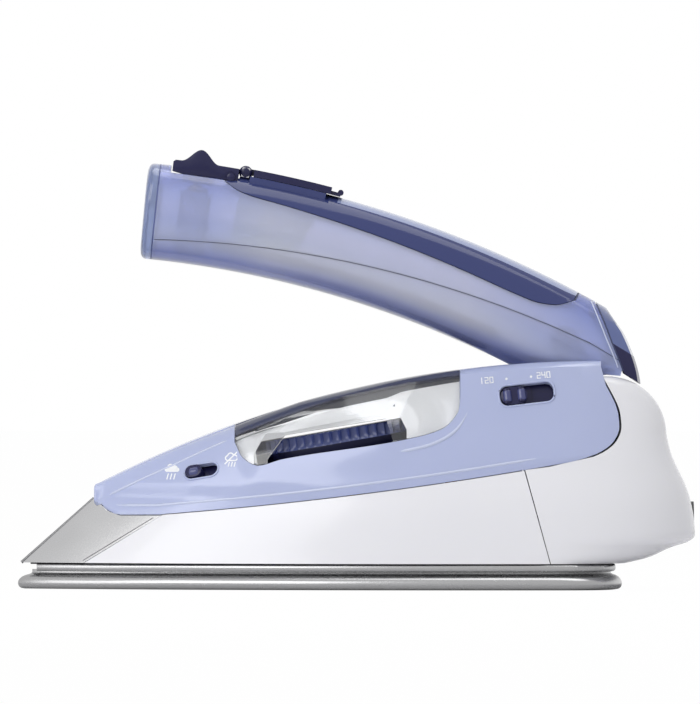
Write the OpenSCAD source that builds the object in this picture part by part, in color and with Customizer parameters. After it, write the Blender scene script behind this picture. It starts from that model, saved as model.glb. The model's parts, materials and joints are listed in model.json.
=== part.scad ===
// Folding travel steam iron.
// +X points to the heel and -X to the nose, +Z is up, Y = 0 is the plane of symmetry.
// The origin is on the ironing surface, under the middle of the overall length.

/* [Overall] */
// Length from the soleplate's tip to the back of the housing
overall_l = 215; // [205:1:228]
// Width of the soleplate
sole_w = 85; // [78:1:94]
// Overhang of the housing's back behind the soleplate
heel_overhang = 23; // [19:1:33]
// Height of the soleplate, with its upper step
sole_t = 7.8; // [7:0.1:9]

/* [Body] */
// Wall thickness of the body mouldings
wall = 2.2; // [1.8:0.1:2.6]
// Gap between neighbouring mouldings
seam = 0.25; // [0.15:0.05:0.35]
// Slope of the nose line, from the horizontal
nose_angle = 42; // [40:1:46]
// Height of the crest over the dial window
window_crest_h = 61.75; // [61.5:0.05:62.2]
// Height of the crest where it is highest
crest_h = 72.3; // [71:0.1:74]
// Fall of the nose's top face from the crest to its edges
crown = 5; // [3:0.5:6]
// Body width over the skirt's foot
skirt_w = 81; // [77:1:84]
// Body width at the top of the rear block
block_w = 46; // [44:1:50]

/* [Hinge] */
// Distance of the hinge pin forward of the back of the housing
hinge_back = 27.5; // [26:0.5:30]
// Height of the hinge pin
hinge_h = 49; // [48:0.5:50]
// Radius of the round housing top that the handle's heel slides over
dome_r = 18.4; // [17.8:0.1:19]
// Gap between that top and the heel
heel_gap = 0.6; // [0.5:0.1:1]
// Diameter of the hinge pin
hinge_pin_d = 6; // [5:0.5:7]
// Angle that the handle folds down
fold = 21; // [16:1:22]
// Running clearance of every pin in its bore, on the radius
run_fit = 0.05; // [0.03:0.01:0.08]

/* [Handle] */
// Radius of the arc along the grip's underside
bow_r = 331.5; // [328:0.5:334]
// Width of the handle
handle_w = 30; // [28:0.5:31]
// Depth of the handle, from underside to top
handle_d = 30.5; // [29:0.5:32]
// Wall thickness of the handle mouldings
handle_wall = 2; // [1.6:0.1:2.2]
// Side gap between the folded handle and the body
side_gap = 1.3; // [1:0.1:1.6]
// Thickness of the end cap at the front of the handle
end_cap_t = 3.5; // [3:0.1:5]

/* [Controls] */
// Radius of the thermostat dial
dial_r = 28.9; // [28.4:0.1:29]
// Thickness of the dial
dial_t = 8.1; // [7.6:0.1:8.2]
// Distance of the dial's axis behind the soleplate's tip
dial_back = 104.3; // [104:0.1:104.6]
// Height of the middle of the dial
dial_h = 47; // [46.9:0.1:47.2]
// Tilt of the dial towards the nose
dial_tilt = 9.8; // [9.5:0.1:10]
// Number of grip ribs around the dial
dial_ribs = 48; // [36:1:60]
// Length of the steam slider's slot
steam_slot_l = 11; // [10:0.5:12]
// Length of the steam slider's knob
steam_knob_l = 6; // [5.5:0.1:6.5]
// Length of the voltage selector's slot
volt_slot_l = 17; // [16:0.5:18]
// Length of the voltage selector's knob
volt_knob_l = 9; // [8:0.5:9.5]
// Width of the steam trigger and the filler lid
trigger_w = 20; // [18:0.5:21]
// Length of the steam trigger
trigger_l = 21; // [20:0.5:22]
// Length of the filler lid
lid_l = 33; // [31:0.5:35]

/* [Heater] */
// Diameter of the heating element's tube
element_d = 7; // [6:0.5:7.5]
// Height of the heater casting
casting_t = 11; // [10:0.5:12]
// Diameter of the steam holes
steam_hole_d = 2.6; // [2:0.1:3.2]
// Number of steam holes along each edge of the soleplate
steam_holes = 12; // [8:1:14]

/* [Cord inlet] */
// Bore of the cord gland
gland_bore_d = 7; // [6:0.5:8]
// Length of the gland's bore
gland_l = 10; // [9:0.5:12]

/* [Hidden] */

$fn = 48;

// Colours
c_cover = [0.62, 0.68, 0.86, 0.9];
c_handle = [0.42, 0.50, 0.72, 0.9];
c_clear = [0.80, 0.84, 0.88, 0.5];
c_white = [0.93, 0.93, 0.95];
c_navy = [0.10, 0.12, 0.25];
c_metal = [0.75, 0.76, 0.78];
c_steel = [0.60, 0.61, 0.63];
c_cast = [0.66, 0.66, 0.65];
c_brass = [0.80, 0.66, 0.35];
c_black = [0.08, 0.08, 0.09];
c_hose = [0.85, 0.85, 0.80];
c_red = [0.75, 0.15, 0.12];

// ---- Main places ----
nose_x = -overall_l / 2;
tail_x = overall_l / 2;
sole_l = overall_l - heel_overhang;
heel_x = nose_x + sole_l;
skirt_z = sole_t + 0.5;
hinge_x = tail_x - hinge_back;
hinge_z = hinge_h;
dial_x = nose_x + dial_back;
dial_z = dial_h;
win_x = nose_x + 99.5;
win_z = 45.9;
fit = 0.15;
big = 400;

// ---- Small helpers ----
function lerp(a, b, t) = a + (b - a) * t;
function arc_xz(cx, cz, r, a0, a1, n) =
  [for (i = [0:n]) let (a = lerp(a0, a1, i / n)) [cx + r * cos(a), cz + r * sin(a)]];
function spin2(p, a) = [
  hinge_x + (p[0] - hinge_x) * cos(a) - (p[1] - hinge_z) * sin(a),
  hinge_z + (p[0] - hinge_x) * sin(a) + (p[1] - hinge_z) * cos(a)
];
function unit(v) = v / norm(v);

// A closed solid through a list of rings that all have the same number of points.
module skin(rings) {
  n = len(rings[0]);
  m = len(rings);
  points = [for (r = rings) each r];
  sides = [for (i = [0:m - 2], j = [0:n - 1])
    [i * n + j, i * n + (j + 1) % n, (i + 1) * n + (j + 1) % n, (i + 1) * n + j]];
  first = [for (j = [n - 1:-1:0]) j];
  last = [for (j = [0:n - 1]) (m - 1) * n + j];
  polyhedron(points, concat(sides, [first, last]), convexity = 8);
}

// A side outline in X and Z, extruded across the whole width or a given width.
module slab(outline, width = big) {
  rotate([90, 0, 0]) linear_extrude(width, center = true) polygon(outline);
}

// A cylinder along Y.
module rod_y(x, z, r, width, y = 0) {
  translate([x, y, z]) rotate([90, 0, 0]) cylinder(r = r, h = width, center = true);
}

// A moulded wall between an outer and an inner grid of points. A cell that the mask leaves out is
// an opening, and rims close the wall round every edge. With nose, the first row is closed too.
module wall_grid(outer, inner, open = [], nose = false, flip = false) {
  m = len(outer) - 1;
  n = len(outer[0]) - 1;
  size = (m + 1) * (n + 1);
  function there(i, j) = i >= 0 && i < m && j >= 0 && j < n
    && len([for (o = open) if (i >= o[0] && i < o[1] && j >= o[2] && j < o[3]) 1]) == 0;
  function a(i, j) = i * (n + 1) + j;
  function b(i, j) = size + a(i, j);
  cells = [for (i = [0:m - 1], j = [0:n - 1]) if (there(i, j)) [i, j]];
  faces = [for (c = cells) let (i = c[0], j = c[1]) each concat(
    [[a(i, j), a(i, j + 1), a(i + 1, j + 1), a(i + 1, j)]],
    [[b(i, j), b(i + 1, j), b(i + 1, j + 1), b(i, j + 1)]],
    there(i - 1, j) || (nose && i == 0) ? [] : [[a(i, j + 1), a(i, j), b(i, j), b(i, j + 1)]],
    there(i + 1, j) ? [] : [[a(i + 1, j), a(i + 1, j + 1), b(i + 1, j + 1), b(i + 1, j)]],
    there(i, j - 1) ? [] : [[a(i, j), a(i + 1, j), b(i + 1, j), b(i, j)]],
    there(i, j + 1) ? [] : [[a(i + 1, j + 1), a(i, j + 1), b(i, j + 1), b(i + 1, j + 1)]])];
  ends = nose ? [[for (j = [n:-1:0]) a(0, j)], [for (j = [0:n]) b(0, j)], [a(0, n), a(0, 0), b(0, 0),
      b(0, n)]] : [];
  all = concat(faces, ends);
  turned = flip ? [for (f = all) [for (k = [len(f) - 1:-1:0]) f[k]]] : all;
  polyhedron(concat([for (r = outer) each r], [for (r = inner) each r]), turned, convexity = 10);
}
// A half profile mirrored to the other side of the plane of symmetry; its last point is on the plane.
function both_sides(half) = concat(half, [for (k = [len(half) - 2:-1:0]) [half[k][0], -half[k][1],
    half[k][2]]]);

// A round tube swept along points, with eight sides.
module tube(path, r) {
  n = len(path) - 1;
  skin([for (i = [0:n])
    let (t = unit(path[min(i + 1, n)] - path[max(i - 1, 0)]),
         side = unit(cross(t, abs(t[2]) > 0.9 ? [1, 0, 0] : [0, 0, 1])),
         up = cross(side, t))
    [for (k = [0:7]) path[i] + r * (cos(45 * k) * side + sin(45 * k) * up)]]);
}

// A coil spring standing on Z, with its ends at 0 and length.
module coil(r, wire_r, turns, length) {
  steps = 12 * turns;
  rise = length - 2 * wire_r;
  skin([for (i = [0:steps])
    let (a = 360 * i / 12, z = wire_r + rise * i / steps)
    [for (k = [0:4]) let (b = 72 * k)
      [(r + wire_r * cos(b)) * cos(a), (r + wire_r * cos(b)) * sin(a), z + wire_r * sin(b)]]]);
}

// ---- Soleplate outline ----
heel_round = 24;
sole_nose_l = 150;
function sole_half(x, inset) =
  let (tip = nose_x + 1.3 * inset, back = heel_x - inset,
       u = min(max((x - tip) / sole_nose_l, 0), 1),
       v = max((x - back + heel_round) / heel_round, 0))
  (sole_w / 2 - inset) * pow(1 - pow(1 - u, 2.2), 0.9) * pow(max(1 - pow(v, 4), 0), 0.4);
function sole_outline(inset, n = 28) =
  let (tip = nose_x + 1.3 * inset, back = heel_x - inset,
       xs = [for (i = [0:n]) lerp(tip, back, (1 - cos(180 * i / n)) / 2)])
  concat([for (i = [0:n]) [xs[i], -sole_half(xs[i], inset)]],
         [for (i = [n - 1:-1:1]) [xs[i], sole_half(xs[i], inset)]]);

// ---- Body surface: half width of the side wall at a place ----
tail_round_l = 30;
nose_front_z = 29.1;
nose_bluff = 4.4;
dome_half = handle_w / 2 + side_gap - 0.6;
function side_w(z) = lookup(z, [
  [skirt_z, skirt_w / 2], [25, skirt_w / 2 - 2], [40, skirt_w / 2 - 6.5],
  [55, lerp(skirt_w / 2 - 6.5, block_w / 2, 0.5)], [crest_h, block_w / 2]]);
function front_x(z) = nose_x + 1
  + (min(z, nose_front_z) - skirt_z + max(z - nose_front_z - nose_bluff, 0)) / tan(nose_angle);
function nose_len(z) = lookup(z, [[skirt_z, 140], [47, 100], [crest_h, 90]]);
function waist_x(z) = tail_x + lookup(z, [
  [skirt_z, -22], [10, -15], [13.5, -7], [15, -2.2], [17, 0], [22, -0.3], [28, -1.4],
  [33, -3], [38, -5.4], [43, -7.6], [hinge_h, -hinge_back + dome_r]]);
function dome_x(z) = hinge_x + sqrt(max(pow(dome_r, 2) - pow(z - hinge_z, 2), 0));
function back_x(z) = z < hinge_z ? waist_x(z) : dome_x(z);
function flat_w(z) = lookup(z, [[skirt_z, dome_half - 4], [hinge_h - 10, dome_half]]);
tail_start = hinge_x - tail_round_l;
function half_w(x, z, inset) =
  let (u = min(max((x - front_x(z) - 1.3 * inset) / nose_len(z), 0), 1),
       v = min(max((x - tail_start) / (back_x(z) - inset - tail_start), 0), 1),
       base = (side_w(z) - inset) * pow(1 - pow(1 - u, 2), 0.85))
  v <= 0 ? base : flat_w(z) + (base - flat_w(z)) * pow(1 - pow(v, 3), 0.45);
function on_wall(x, z, inset) = [x, -half_w(x, z, inset), z];

// The crest is one long arc.
crest_x = hinge_x - 3.7;
crest_fall = crest_h - window_crest_h;
crest_r = (pow(crest_x - win_x, 2) + pow(crest_fall, 2)) / (2 * crest_fall);
function crest_z(x) = crest_h - crest_r + sqrt(pow(crest_r, 2) - pow(x - crest_x, 2));

// ---- Side lines between the mouldings ----
hem_x0 = nose_x + 46;
nose_tip_x = front_x(nose_front_z);
notch = [[nose_tip_x, nose_front_z], [nose_tip_x + 4.6, 25], [nose_tip_x + 8.4, 23.6], [hem_x0, 23.7]];
function hem_z(x) = x < hem_x0 ? lookup(x, notch) : 30.2 + 0.126 * x + 0.00037 * x * x;
function cover_rear(q) = [
  hinge_x + lookup(q, [[0, -12], [0.2, -4], [0.36, 1.5], [0.52, 3.3], [0.68, 2.9], [1, -2.4]]),
  hinge_z + lookup(q, [[0, -8.6], [0.2, -6], [0.36, -2], [0.52, 2.5], [0.68, 7], [1, dome_r + 0.2]])];
rear_seam = 0.7;
seam_low = hinge_x - 18.5;
seam_top = hinge_x - 26.6;
tip_low = nose_x + 21;

// ---- Handle frame: polar around the centre of its long arc ----
bow_x = hinge_x - 180;
bow_z = hinge_z - 274;
function bow(r, a) = [bow_x + r * sin(a), bow_z + r * cos(a)];
function bow3(r, a, y) = [bow_x + r * sin(a), y, bow_z + r * cos(a)];
function arc_deg(length, r) = length / r * 180 / PI;
top_r = bow_r + handle_d;
mid_r = bow_r + handle_d / 2;
front_a = 5.45;
cap_a = front_a + arc_deg(end_cap_t, mid_r);
arm_a = 28.65;
hinge_r = norm([180, 274]);
hinge_a = atan2(180, 274);
function seam_r(a) = bow_r + 6 + 0.49 * (a - front_a);
squareness = 2.7;
// Half width of the grip at a radius, and the radius at a half width, on its upper side.
function grip_half(r, inset) = let (s = min(abs(r - mid_r) / (handle_d / 2 - inset), 1))
  (handle_w / 2 - inset) * pow(1 - pow(s, squareness), 1 / squareness);
function grip_high(y, inset) = let (s = min(abs(y) / (handle_w / 2 - inset), 1))
  (handle_d / 2 - inset) * pow(1 - pow(s, squareness), 1 / squareness);
// Where the handle ends at the round housing top, and at the heel cover's seam.
function round_end_a(r, gap) = let (c = (r * r + hinge_r * hinge_r - pow(dome_r + gap,
    2)) / (2 * r * hinge_r))
  c >= 1 ? 90 : hinge_a - acos(c);
function heel_seam_a(r) = lookup(r - bow_r, [[0, 33.6], [12.8, 32.6], [22.5, 30.7], [29.7, 29.25],
    [handle_d, 29.1]]);
function heel_back_a(r) = lookup(r - bow_r, [[0, 34.6], [15.2, 33.2], [26, 31.1], [28.6, 30.2],
    [handle_d, 29.6]]);
function end_a(r, back) = min(round_end_a(r, heel_gap), heel_seam_a(r) - back);

// ---- The space that the handle sweeps as it folds ----
pocket_half = handle_w / 2 + side_gap;
fold_gap = 1.3;
bow_centre = spin2([bow_x, bow_z], fold);
function fold_z(x) = bow_centre[1] + sqrt(pow(bow_r - fold_gap, 2) - pow(x - bow_centre[0], 2));

// =================== Base ===================
step_front = nose_x + 14;
// Steam holes follow the soleplate's edge, in two staggered rows.
function hole_places() =
  [for (row = [0, 1], side = [-1, 1], i = [0:steam_holes - 1])
    let (x = nose_x + 22 + 7 * row + i * 10) [x, side * (sole_half(x, 0) - 9 - 6 * row)]];
module soleplate() {
  flange_t = 5.2;
  color(c_metal) difference() {
    union() {
      linear_extrude(0.8) polygon(sole_outline(0.9));
      translate([0, 0, 0.8]) linear_extrude(3) polygon(sole_outline(0));
      translate([0, 0, 3.8]) linear_extrude(flange_t - 3.8) polygon(sole_outline(0.8));
      translate([0, 0, flange_t]) linear_extrude(0.8) polygon(sole_outline(3.4));
      intersection() {
        translate([0, 0, flange_t + 0.8]) linear_extrude(sole_t - flange_t - 0.8) polygon(sole_outline(2));
        translate([step_front, -sole_w, 0]) cube([sole_l, 2 * sole_w, 2 * sole_t]);
      }
    }
    for (p = hole_places()) {
      translate([p[0], p[1], -1]) cylinder(d = steam_hole_d, h = sole_t + 2, $fn = 16);
    }
  }
}

module base_seal() {
  color(c_black) translate([0, 0, sole_t]) linear_extrude(skirt_z - sole_t) difference() {
    polygon(sole_outline(3));
    polygon(sole_outline(6));
  }
}

// Outline of the hot parts: inside the soleplate's edge, and inside the skirt at a height.
function hot_half(x, z) = min(sole_half(x, 9), half_w(x, z, behind + wall + 0.6));
function hot_outline(z, n = 28) =
  let (x0 = front_x(z) + 1.3 * (behind + wall + 0.6) + 7.5, x1 = heel_x - 9,
       xs = [for (i = [0:n]) lerp(x0, x1, (1 - cos(180 * i / n)) / 2)])
  concat([for (i = [0:n]) [xs[i], -hot_half(xs[i], z)]], [for (i = [n - 1:-1:0]) [xs[i],
      hot_half(xs[i], z)]]);

casting_z = sole_t;
casting_top = casting_z + casting_t;
u_leg = 25;
u_x = nose_x + 80;
chamber_half = u_leg - element_d / 2 - 3;
chamber_l = 30;
valve_x = nose_x + 64;
casting_screws = [[nose_x + 38, 0], [hinge_x - 32, 14], [hinge_x - 32, -14]];
module heater_casting() {
  color(c_cast) difference() {
    translate([0, 0, casting_z]) linear_extrude(casting_t) polygon(hot_outline(casting_top));
    // steam chamber, open to the top
    translate([0, 0, casting_z + 4]) linear_extrude(casting_t) union() {
      translate([u_x, 0]) circle(chamber_half);
      translate([u_x, -chamber_half]) square([chamber_l, 2 * chamber_half]);
    }
    // channel that holds the element's tube
    for (s = [-1, 1]) {
      translate([u_x, s * u_leg, casting_top - element_d / 2])
        rotate([0, 90, 0]) cylinder(r = element_d / 2 + run_fit, h = sole_l);
      translate([u_x, s * u_leg - element_d / 2 - run_fit, casting_top - element_d / 2])
        cube([sole_l, element_d + 2 * run_fit, element_d]);
    }
    translate([u_x, 0, casting_top - element_d / 2]) rotate([0, 0, 90])
      rotate_extrude(angle = 180) union() {
        translate([u_leg, 0]) circle(element_d / 2 + run_fit);
        translate([u_leg - element_d / 2 - run_fit, 0]) square([element_d + 2 * run_fit, element_d]);
      }
    // steam passages down to the holes
    for (s = [-1, 1]) {
      translate([u_x, s * (chamber_half - 4), casting_z - 1]) cylinder(r = 2, h = 8);
    }
    for (p = casting_screws) {
      translate([p[0], p[1], casting_top - 6]) cylinder(r = 1.5, h = 10, $fn = 24);
    }
  }
}

element_back = hinge_x - 6;
module heating_element() {
  z = casting_top - element_d / 2;
  color(c_steel) union() {
    for (s = [-1, 1]) {
      translate([u_x, s * u_leg, z]) rotate([0, 90, 0]) cylinder(d = element_d, h = element_back - u_x);
    }
    translate([u_x, 0, z]) rotate([0, 0, 90])
      rotate_extrude(angle = 180) translate([u_leg, 0]) circle(d = element_d);
  }
}

module element_terminals() {
  z = casting_top - element_d / 2;
  color(c_brass) for (s = [-1, 1]) {
    translate([element_back, s * u_leg, z]) rotate([0, 90, 0]) cylinder(r = 1.6, h = 8, $fn = 24);
    translate([element_back + 4, s * u_leg - 0.4, z]) cube([4, 0.8, 7]);
  }
}

gasket_t = 0.8;
plate_t = 1.4;
module chamber_gasket() {
  color(c_red) translate([0, 0, casting_top]) linear_extrude(gasket_t) difference() {
    polygon(chamber_points(2.4));
    polygon(chamber_points(0));
  }
}
function chamber_points(grow) = let (r = chamber_half + grow)
  concat(arc_xz(u_x, 0, r, 90, 270, 20), [[u_x + chamber_l + grow, -r], [u_x + chamber_l + grow, r]]);
module steam_chamber_cover() {
  color(c_steel) translate([0, 0, casting_top + gasket_t]) linear_extrude(plate_t) difference() {
    polygon(chamber_points(2.4));
    translate([valve_x, 0]) circle(2.5);
  }
}

shield_z = casting_top + gasket_t + plate_t + 1.2;
shield_t = 1;
valve_r = 4;
therm_l = 22;
therm_w = 14;
// A tongue behind the soleplate carries the hinge bearings and the terminal block.
tongue_x = hinge_x - 25;
tongue_gap = 0.9;
tongue_w = 33;
module heat_shield() {
  difference() {
    color(c_steel) union() {
      translate([0, 0, shield_z]) linear_extrude(shield_t) union() {
        polygon(hot_outline(shield_z + shield_t));
        translate([tongue_x, -tongue_w / 2]) square([gland_face - gland_l - tongue_gap - tongue_x, tongue_w]);
      }
      for (p = casting_screws) {
        translate([p[0], p[1], casting_top]) cylinder(r = 3.5, h = shield_z - casting_top + 0.5);
      }
    }
    translate([valve_x, 0, 0]) cylinder(r = valve_r + 1, h = 60);
    translate([dial_x - therm_l / 2 - 1, -therm_w / 2 - 1, 0]) cube([therm_l + 2, therm_w + 2, 60]);
    for (p = concat(casting_screws, foot_screws)) {
      translate([p[0], p[1], 0]) cylinder(r = 1.5 + fit, h = 60, $fn = 24);
    }
  }
}

module pan_screw(length, r) {
  difference() {
    union() {
      cylinder(r = r, h = length, $fn = 24);
      translate([0, 0, length]) cylinder(r = 2 * r, h = 1.6, $fn = 24);
    }
    translate([0, 0, length + 1]) cube([4 * r, 0.7, 1.4], center = true);
  }
}
module heater_screws() {
  reach = 5;
  color(c_steel) for (p = casting_screws) {
    translate([p[0], p[1], casting_top - reach]) pan_screw(shield_z + shield_t - casting_top + reach, 1.45);
  }
}

// =================== Body mouldings ===================
// The tip wraps the nose: its rows run from the right rear edge round the nose to the left one.
tip_rows = 7;
function tip_side(s, t, inset) =
  let (shift = 1.3 * inset * (1 - s),
       low = [lerp(front_x(skirt_z), tip_low, s), skirt_z],
       top_x = lerp(nose_tip_x, hem_x0, s),
       top = [top_x, lookup(top_x + shift, notch) - seam],
       p = lerp(low, top, t))
  on_wall(p[0] + shift, p[1], inset);
function tip_row(k, inset) = let (s = pow(abs(k) / tip_rows, 1.4))
  [for (j = [0:5]) let (p = tip_side(s, j / 5, inset)) [p[0], -sign(k) * abs(p[1]), p[2]]];
module precision_tip() {
  color(c_metal) wall_grid([for (k = [-tip_rows:tip_rows]) tip_row(k, 0)],
                           [for (k = [-tip_rows:tip_rows]) tip_row(k, wall)]);
}

// The skirt runs on behind the tip, set back by the tip's wall.
behind = wall + seam;
skirt_rows = 9;
function skirt_side(s, t, inset) =
  let (low = [lerp(tip_low + seam, seam_low - seam, s), skirt_z],
       top_x = lerp(hem_x0 + seam, seam_top - seam, s),
       p = lerp(low, [top_x, hem_z(top_x) - seam], t))
  on_wall(p[0], p[1], inset);
function skirt_nose(s, t, inset) =
  let (low = [lerp(front_x(skirt_z), tip_low, s), skirt_z],
       shift = 1.3 * inset * (1 - s),
       top_x = lerp(nose_tip_x, hem_x0, s),
       p = lerp(low, [top_x, lookup(top_x + shift, notch) - 2 * seam], t))
  on_wall(p[0] + shift, p[1], inset);
function skirt_row(k, inset) =
  let (n = abs(k), half = n <= 5
    ? [for (j = [0:5]) skirt_nose(pow(n / 5, 1.4), j / 5, inset + behind)]
    : [for (j = [0:5]) skirt_side((n - 6) / skirt_rows, j / 5, inset + (n == 6 && inset > 0 ? behind : 0))])
  [for (p = half) [p[0], -sign(k) * abs(p[1]), p[2]]];
module skirt() {
  last = skirt_rows + 6;
  color(c_white) wall_grid([for (k = [-last:last]) skirt_row(k, 0)],
                           [for (k = [-last:last]) skirt_row(k, wall)]);
}

// The rear housing's rows climb from the skirt's foot, up the back and over the round top.
// Its columns run from the left seam round the back to the right one.
arm_w = 12;
arm_slot = arm_w / 2 + 1;
gland_z = 22;
gland_r = gland_bore_d / 2 + 2.2;
rear_corner_z = hem_z(seam_top);
low_levels = [skirt_z, 10, 12, 13.8, 15.2, 17, 20, 23, 27, 31, 35, rear_corner_z - 0.05, rear_corner_z + 1];
up_angles = [-24, -14, -5, 5, 15, 25, 35, 45, 55, 65, 78, 90];
over_angles = [95, 108, 122, 136, 150, 168];
corner_cols = 8;
function housing_edge_x(z) = z < rear_corner_z ? lerp(seam_low, seam_top,
    (z - skirt_z) / (rear_corner_z - skirt_z))
    : lookup(z + seam, concat([[rear_corner_z, seam_top]], [for (q = [0:0.04:1]) [cover_rear(q)[1],
        cover_rear(q)[0] + rear_seam]]));
function housing_row(z, back, inset) =
  let (x0 = housing_edge_x(z), w0 = half_w(x0, z, inset), f = flat_w(z) - inset / 2,
       corner = [for (k = [0:corner_cols]) let (e = sin(90 * k / corner_cols), x = lerp(x0, back, e),
         v = (x - tail_start) / (back - tail_start))
         [x, k == corner_cols ? -f : -max(half_w(min(x, back - 0.01), z, inset), f + 0.2), z]],
       flat = [[back, -arm_slot, z], [back, -arm_slot / 2, z], [back, 0, z]])
  both_sides(concat(corner, flat));
function dome_row(angle, inset) =
  let (r = dome_r - inset, f = dome_half - inset / 2, x = hinge_x + r * cos(angle),
      z = hinge_z + r * sin(angle))
  both_sides(concat([for (k = [0:corner_cols]) [x, -f - (corner_cols - k) * 0.1, z]],
                    [[x, -arm_slot, z], [x, -arm_slot / 2, z], [x, 0, z]]));
function up_row(angle, inset) = let (r = dome_r - inset, z = hinge_z + r * sin(angle))
  angle < 0 ? housing_row(z, waist_x(z) - inset, inset) : housing_row(z,
      hinge_x + r * cos(angle) + (angle > 85 ? 0.6 : 0), inset);
module rear_housing() {
  outer = concat([for (z = low_levels) housing_row(z, waist_x(z), 0)], [for (a = up_angles) up_row(a, 0)],
                 [for (a = over_angles) dome_row(a, 0)]);
  inner = concat([for (z = low_levels) housing_row(z, waist_x(z) - wall, wall)],
      [for (a = up_angles) up_row(a, wall)],
                 [for (a = over_angles) dome_row(a, wall)]);
  first_over = len(low_levels) + len(up_angles) - 1;
  n = len(outer[0]) - 1;
  color(c_white) difference() {
    wall_grid(outer, inner, flip = true, open = [
      [first_over, 99, 0, corner_cols], [first_over, 99, n - corner_cols, n],
      [first_over + 1, 99, corner_cols + 1, n - corner_cols - 1]]);
    translate([hinge_x, 0, gland_z]) rotate([0, 90, 0]) cylinder(r = gland_r + fit, h = 60);
  }
}

// ---- Cross-section of the cover and the window, from the lower edge up to the middle ----
border = [[-31.2, 49], [-30.5, 47.2], [-28, 41.8], [-23.2, 39.2], [-15.2, 41.3], [22, 47.2], [34.7,
    50.6], [40.4, 56.4], [41.2, 62]];
function border_z(x) = lookup(x - win_x, border);
// The cover's edge dips under the dial.
dip = [-13, 15.6];
function cover_edge_z(x) = x - win_x > dip[0] - 0.1 && x - win_x < dip[1] + 0.1
  ? dial_z - dial_t / 2 / cos(dial_tilt) - 0.5 + (x - dial_x) * tan(dial_tilt) : border_z(x);
function ramp(x, x0, x1) = min(max((x - x0) / (x1 - x0), 0), 1);
function edge_z(x) = crest_z(x) - lerp(crown, 1.6, ramp(x, win_x - 50, win_x + 5));
function top_part(x, t) =
  let (k = ramp(x, win_x - 34, win_x - 10), ze = edge_z(x), ye = half_w(x, ze, 0),
       lip = lerp(min(pocket_half, 0.6 * ye), pocket_half, ramp(x, 5, 25)),
       deep = ramp(crest_z(x) - fold_z(x), 0, 2),
       te = min(t, (ye - lip) / 2.05),
       yi = lerp(half_w(x, ze, t), ye - te, deep),
       lip_y = t > 0 ? min(lip + te * deep, lerp(0.87 * yi, 99, deep)) : lip,
       edge_y = t > 0 ? yi : ye,
       crest_y = lerp(lip_y, edge_y, 0.5),
       zc = crest_z(x) - t)
  [[x, -edge_y, ze - 0.8 * t],
   [x, -crest_y, zc - (1 - k) * crown * 0.3],
   [x, -lip_y, zc - 0.3 - (1 - k) * 0.5],
   [x, -lip_y + 0.4, min(zc - (1 - k) * 0.4, fold_z(x) - t)],
   [x, 0, min(zc, fold_z(x) - t)]];

cover_x0 = nose_tip_x + 1.4;
win_x0 = win_x - 30.5;
win_x1 = win_x + 41;
nose_st = [cover_x0, cover_x0 + 2.5, cover_x0 + 5.5, cover_x0 + 9, cover_x0 + 14, cover_x0 + 21,
    cover_x0 + 29, cover_x0 + 37, win_x0];
mid_st = [for (d = [-28, -23.2, dip[0] - 2.6, dip[0], -7, 0, 8, dip[1], dip[1] + 2.6, 22, 29, 34.7,
    38.5, 40.4]) win_x + d];
rear_n = 8;
floor_end = hinge_x - 18.4;
rear_q = [0, 0.2, 0.36, 0.52, 0.68, 0.84];
// Side columns: the hem, two between, the window's border, and one above it.
function side_part(x, t) =
  let (z0 = hem_z(x), zb = max(cover_edge_z(x), z0 + 1), ze = edge_z(x) - 0.8 * t, zt = min(zb, ze - 2))
  [on_wall(x, z0, t), on_wall(x, lerp(z0, zt, 0.33), t), on_wall(x, lerp(z0, zt, 0.67), t), on_wall(x,
      zt, t),
   on_wall(x, lerp(zt, ze, 0.33), t), on_wall(x, lerp(zt, ze, 0.67), t)];
function cover_row(x, t) = both_sides(concat(side_part(x, t), top_part(x, t)));
// Behind the window the rows bend back to follow the curved rear edge.
function rear_row(k, t) =
  let (f = k / rear_n, start = concat(side_part(win_x1, t), top_part(win_x1, t)),
       side = [for (c = [0:5]) let (e = cover_rear(rear_q[c]), x = lerp(win_x1, e[0], f),
         z = c == 0 ? hem_z(x) : lerp(start[c][2], e[1], f)) on_wall(x, z, t)],
       xe = lerp(win_x1, hinge_x - 2.4, f), xf = lerp(win_x1, floor_end, f),
       wide = top_part(xe, t), low = top_part(xf, t))
  both_sides(concat(side, [wide[0], wide[1], wide[2], low[3], low[4]]));
function inner_x(i) = nose_st[i] + (i < 6 ? 1.9 * wall * (1 - i / 6) : 0);
module top_cover() {
  outer = concat([for (x = nose_st) cover_row(x, 0)], [for (x = mid_st) cover_row(x, 0)],
                 [for (k = [0:rear_n]) rear_row(k, 0)]);
  inner = concat([for (i = [0:len(nose_st) - 1]) cover_row(inner_x(i), wall)],
      [for (x = mid_st) cover_row(x, wall)],
                 [for (k = [0:rear_n]) rear_row(k, wall)]);
  n = len(outer[0]) - 1;
  r0 = len(nose_st) - 1;
  color(c_cover) difference() {
    wall_grid(outer, inner, open = [[r0, r0 + len(mid_st) + 1, 3, n - 3]], nose = true);
    on_left_wall(volt_x, volt_z, volt_slope) stadium(volt_slot_l, slot_h, 12);
    on_left_wall(steam_x, steam_z, steam_slope) stadium(steam_slot_l, steam_slot_h, 12);
  }
}

// The clear window takes the cover's own cross-section, above the border.
window_wall = 1.4;
open_low = [[-20, -4.7], [19.6, 1.3]];
open_high = [[-14.4, 2.9], [17.6, 8.2]];
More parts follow.
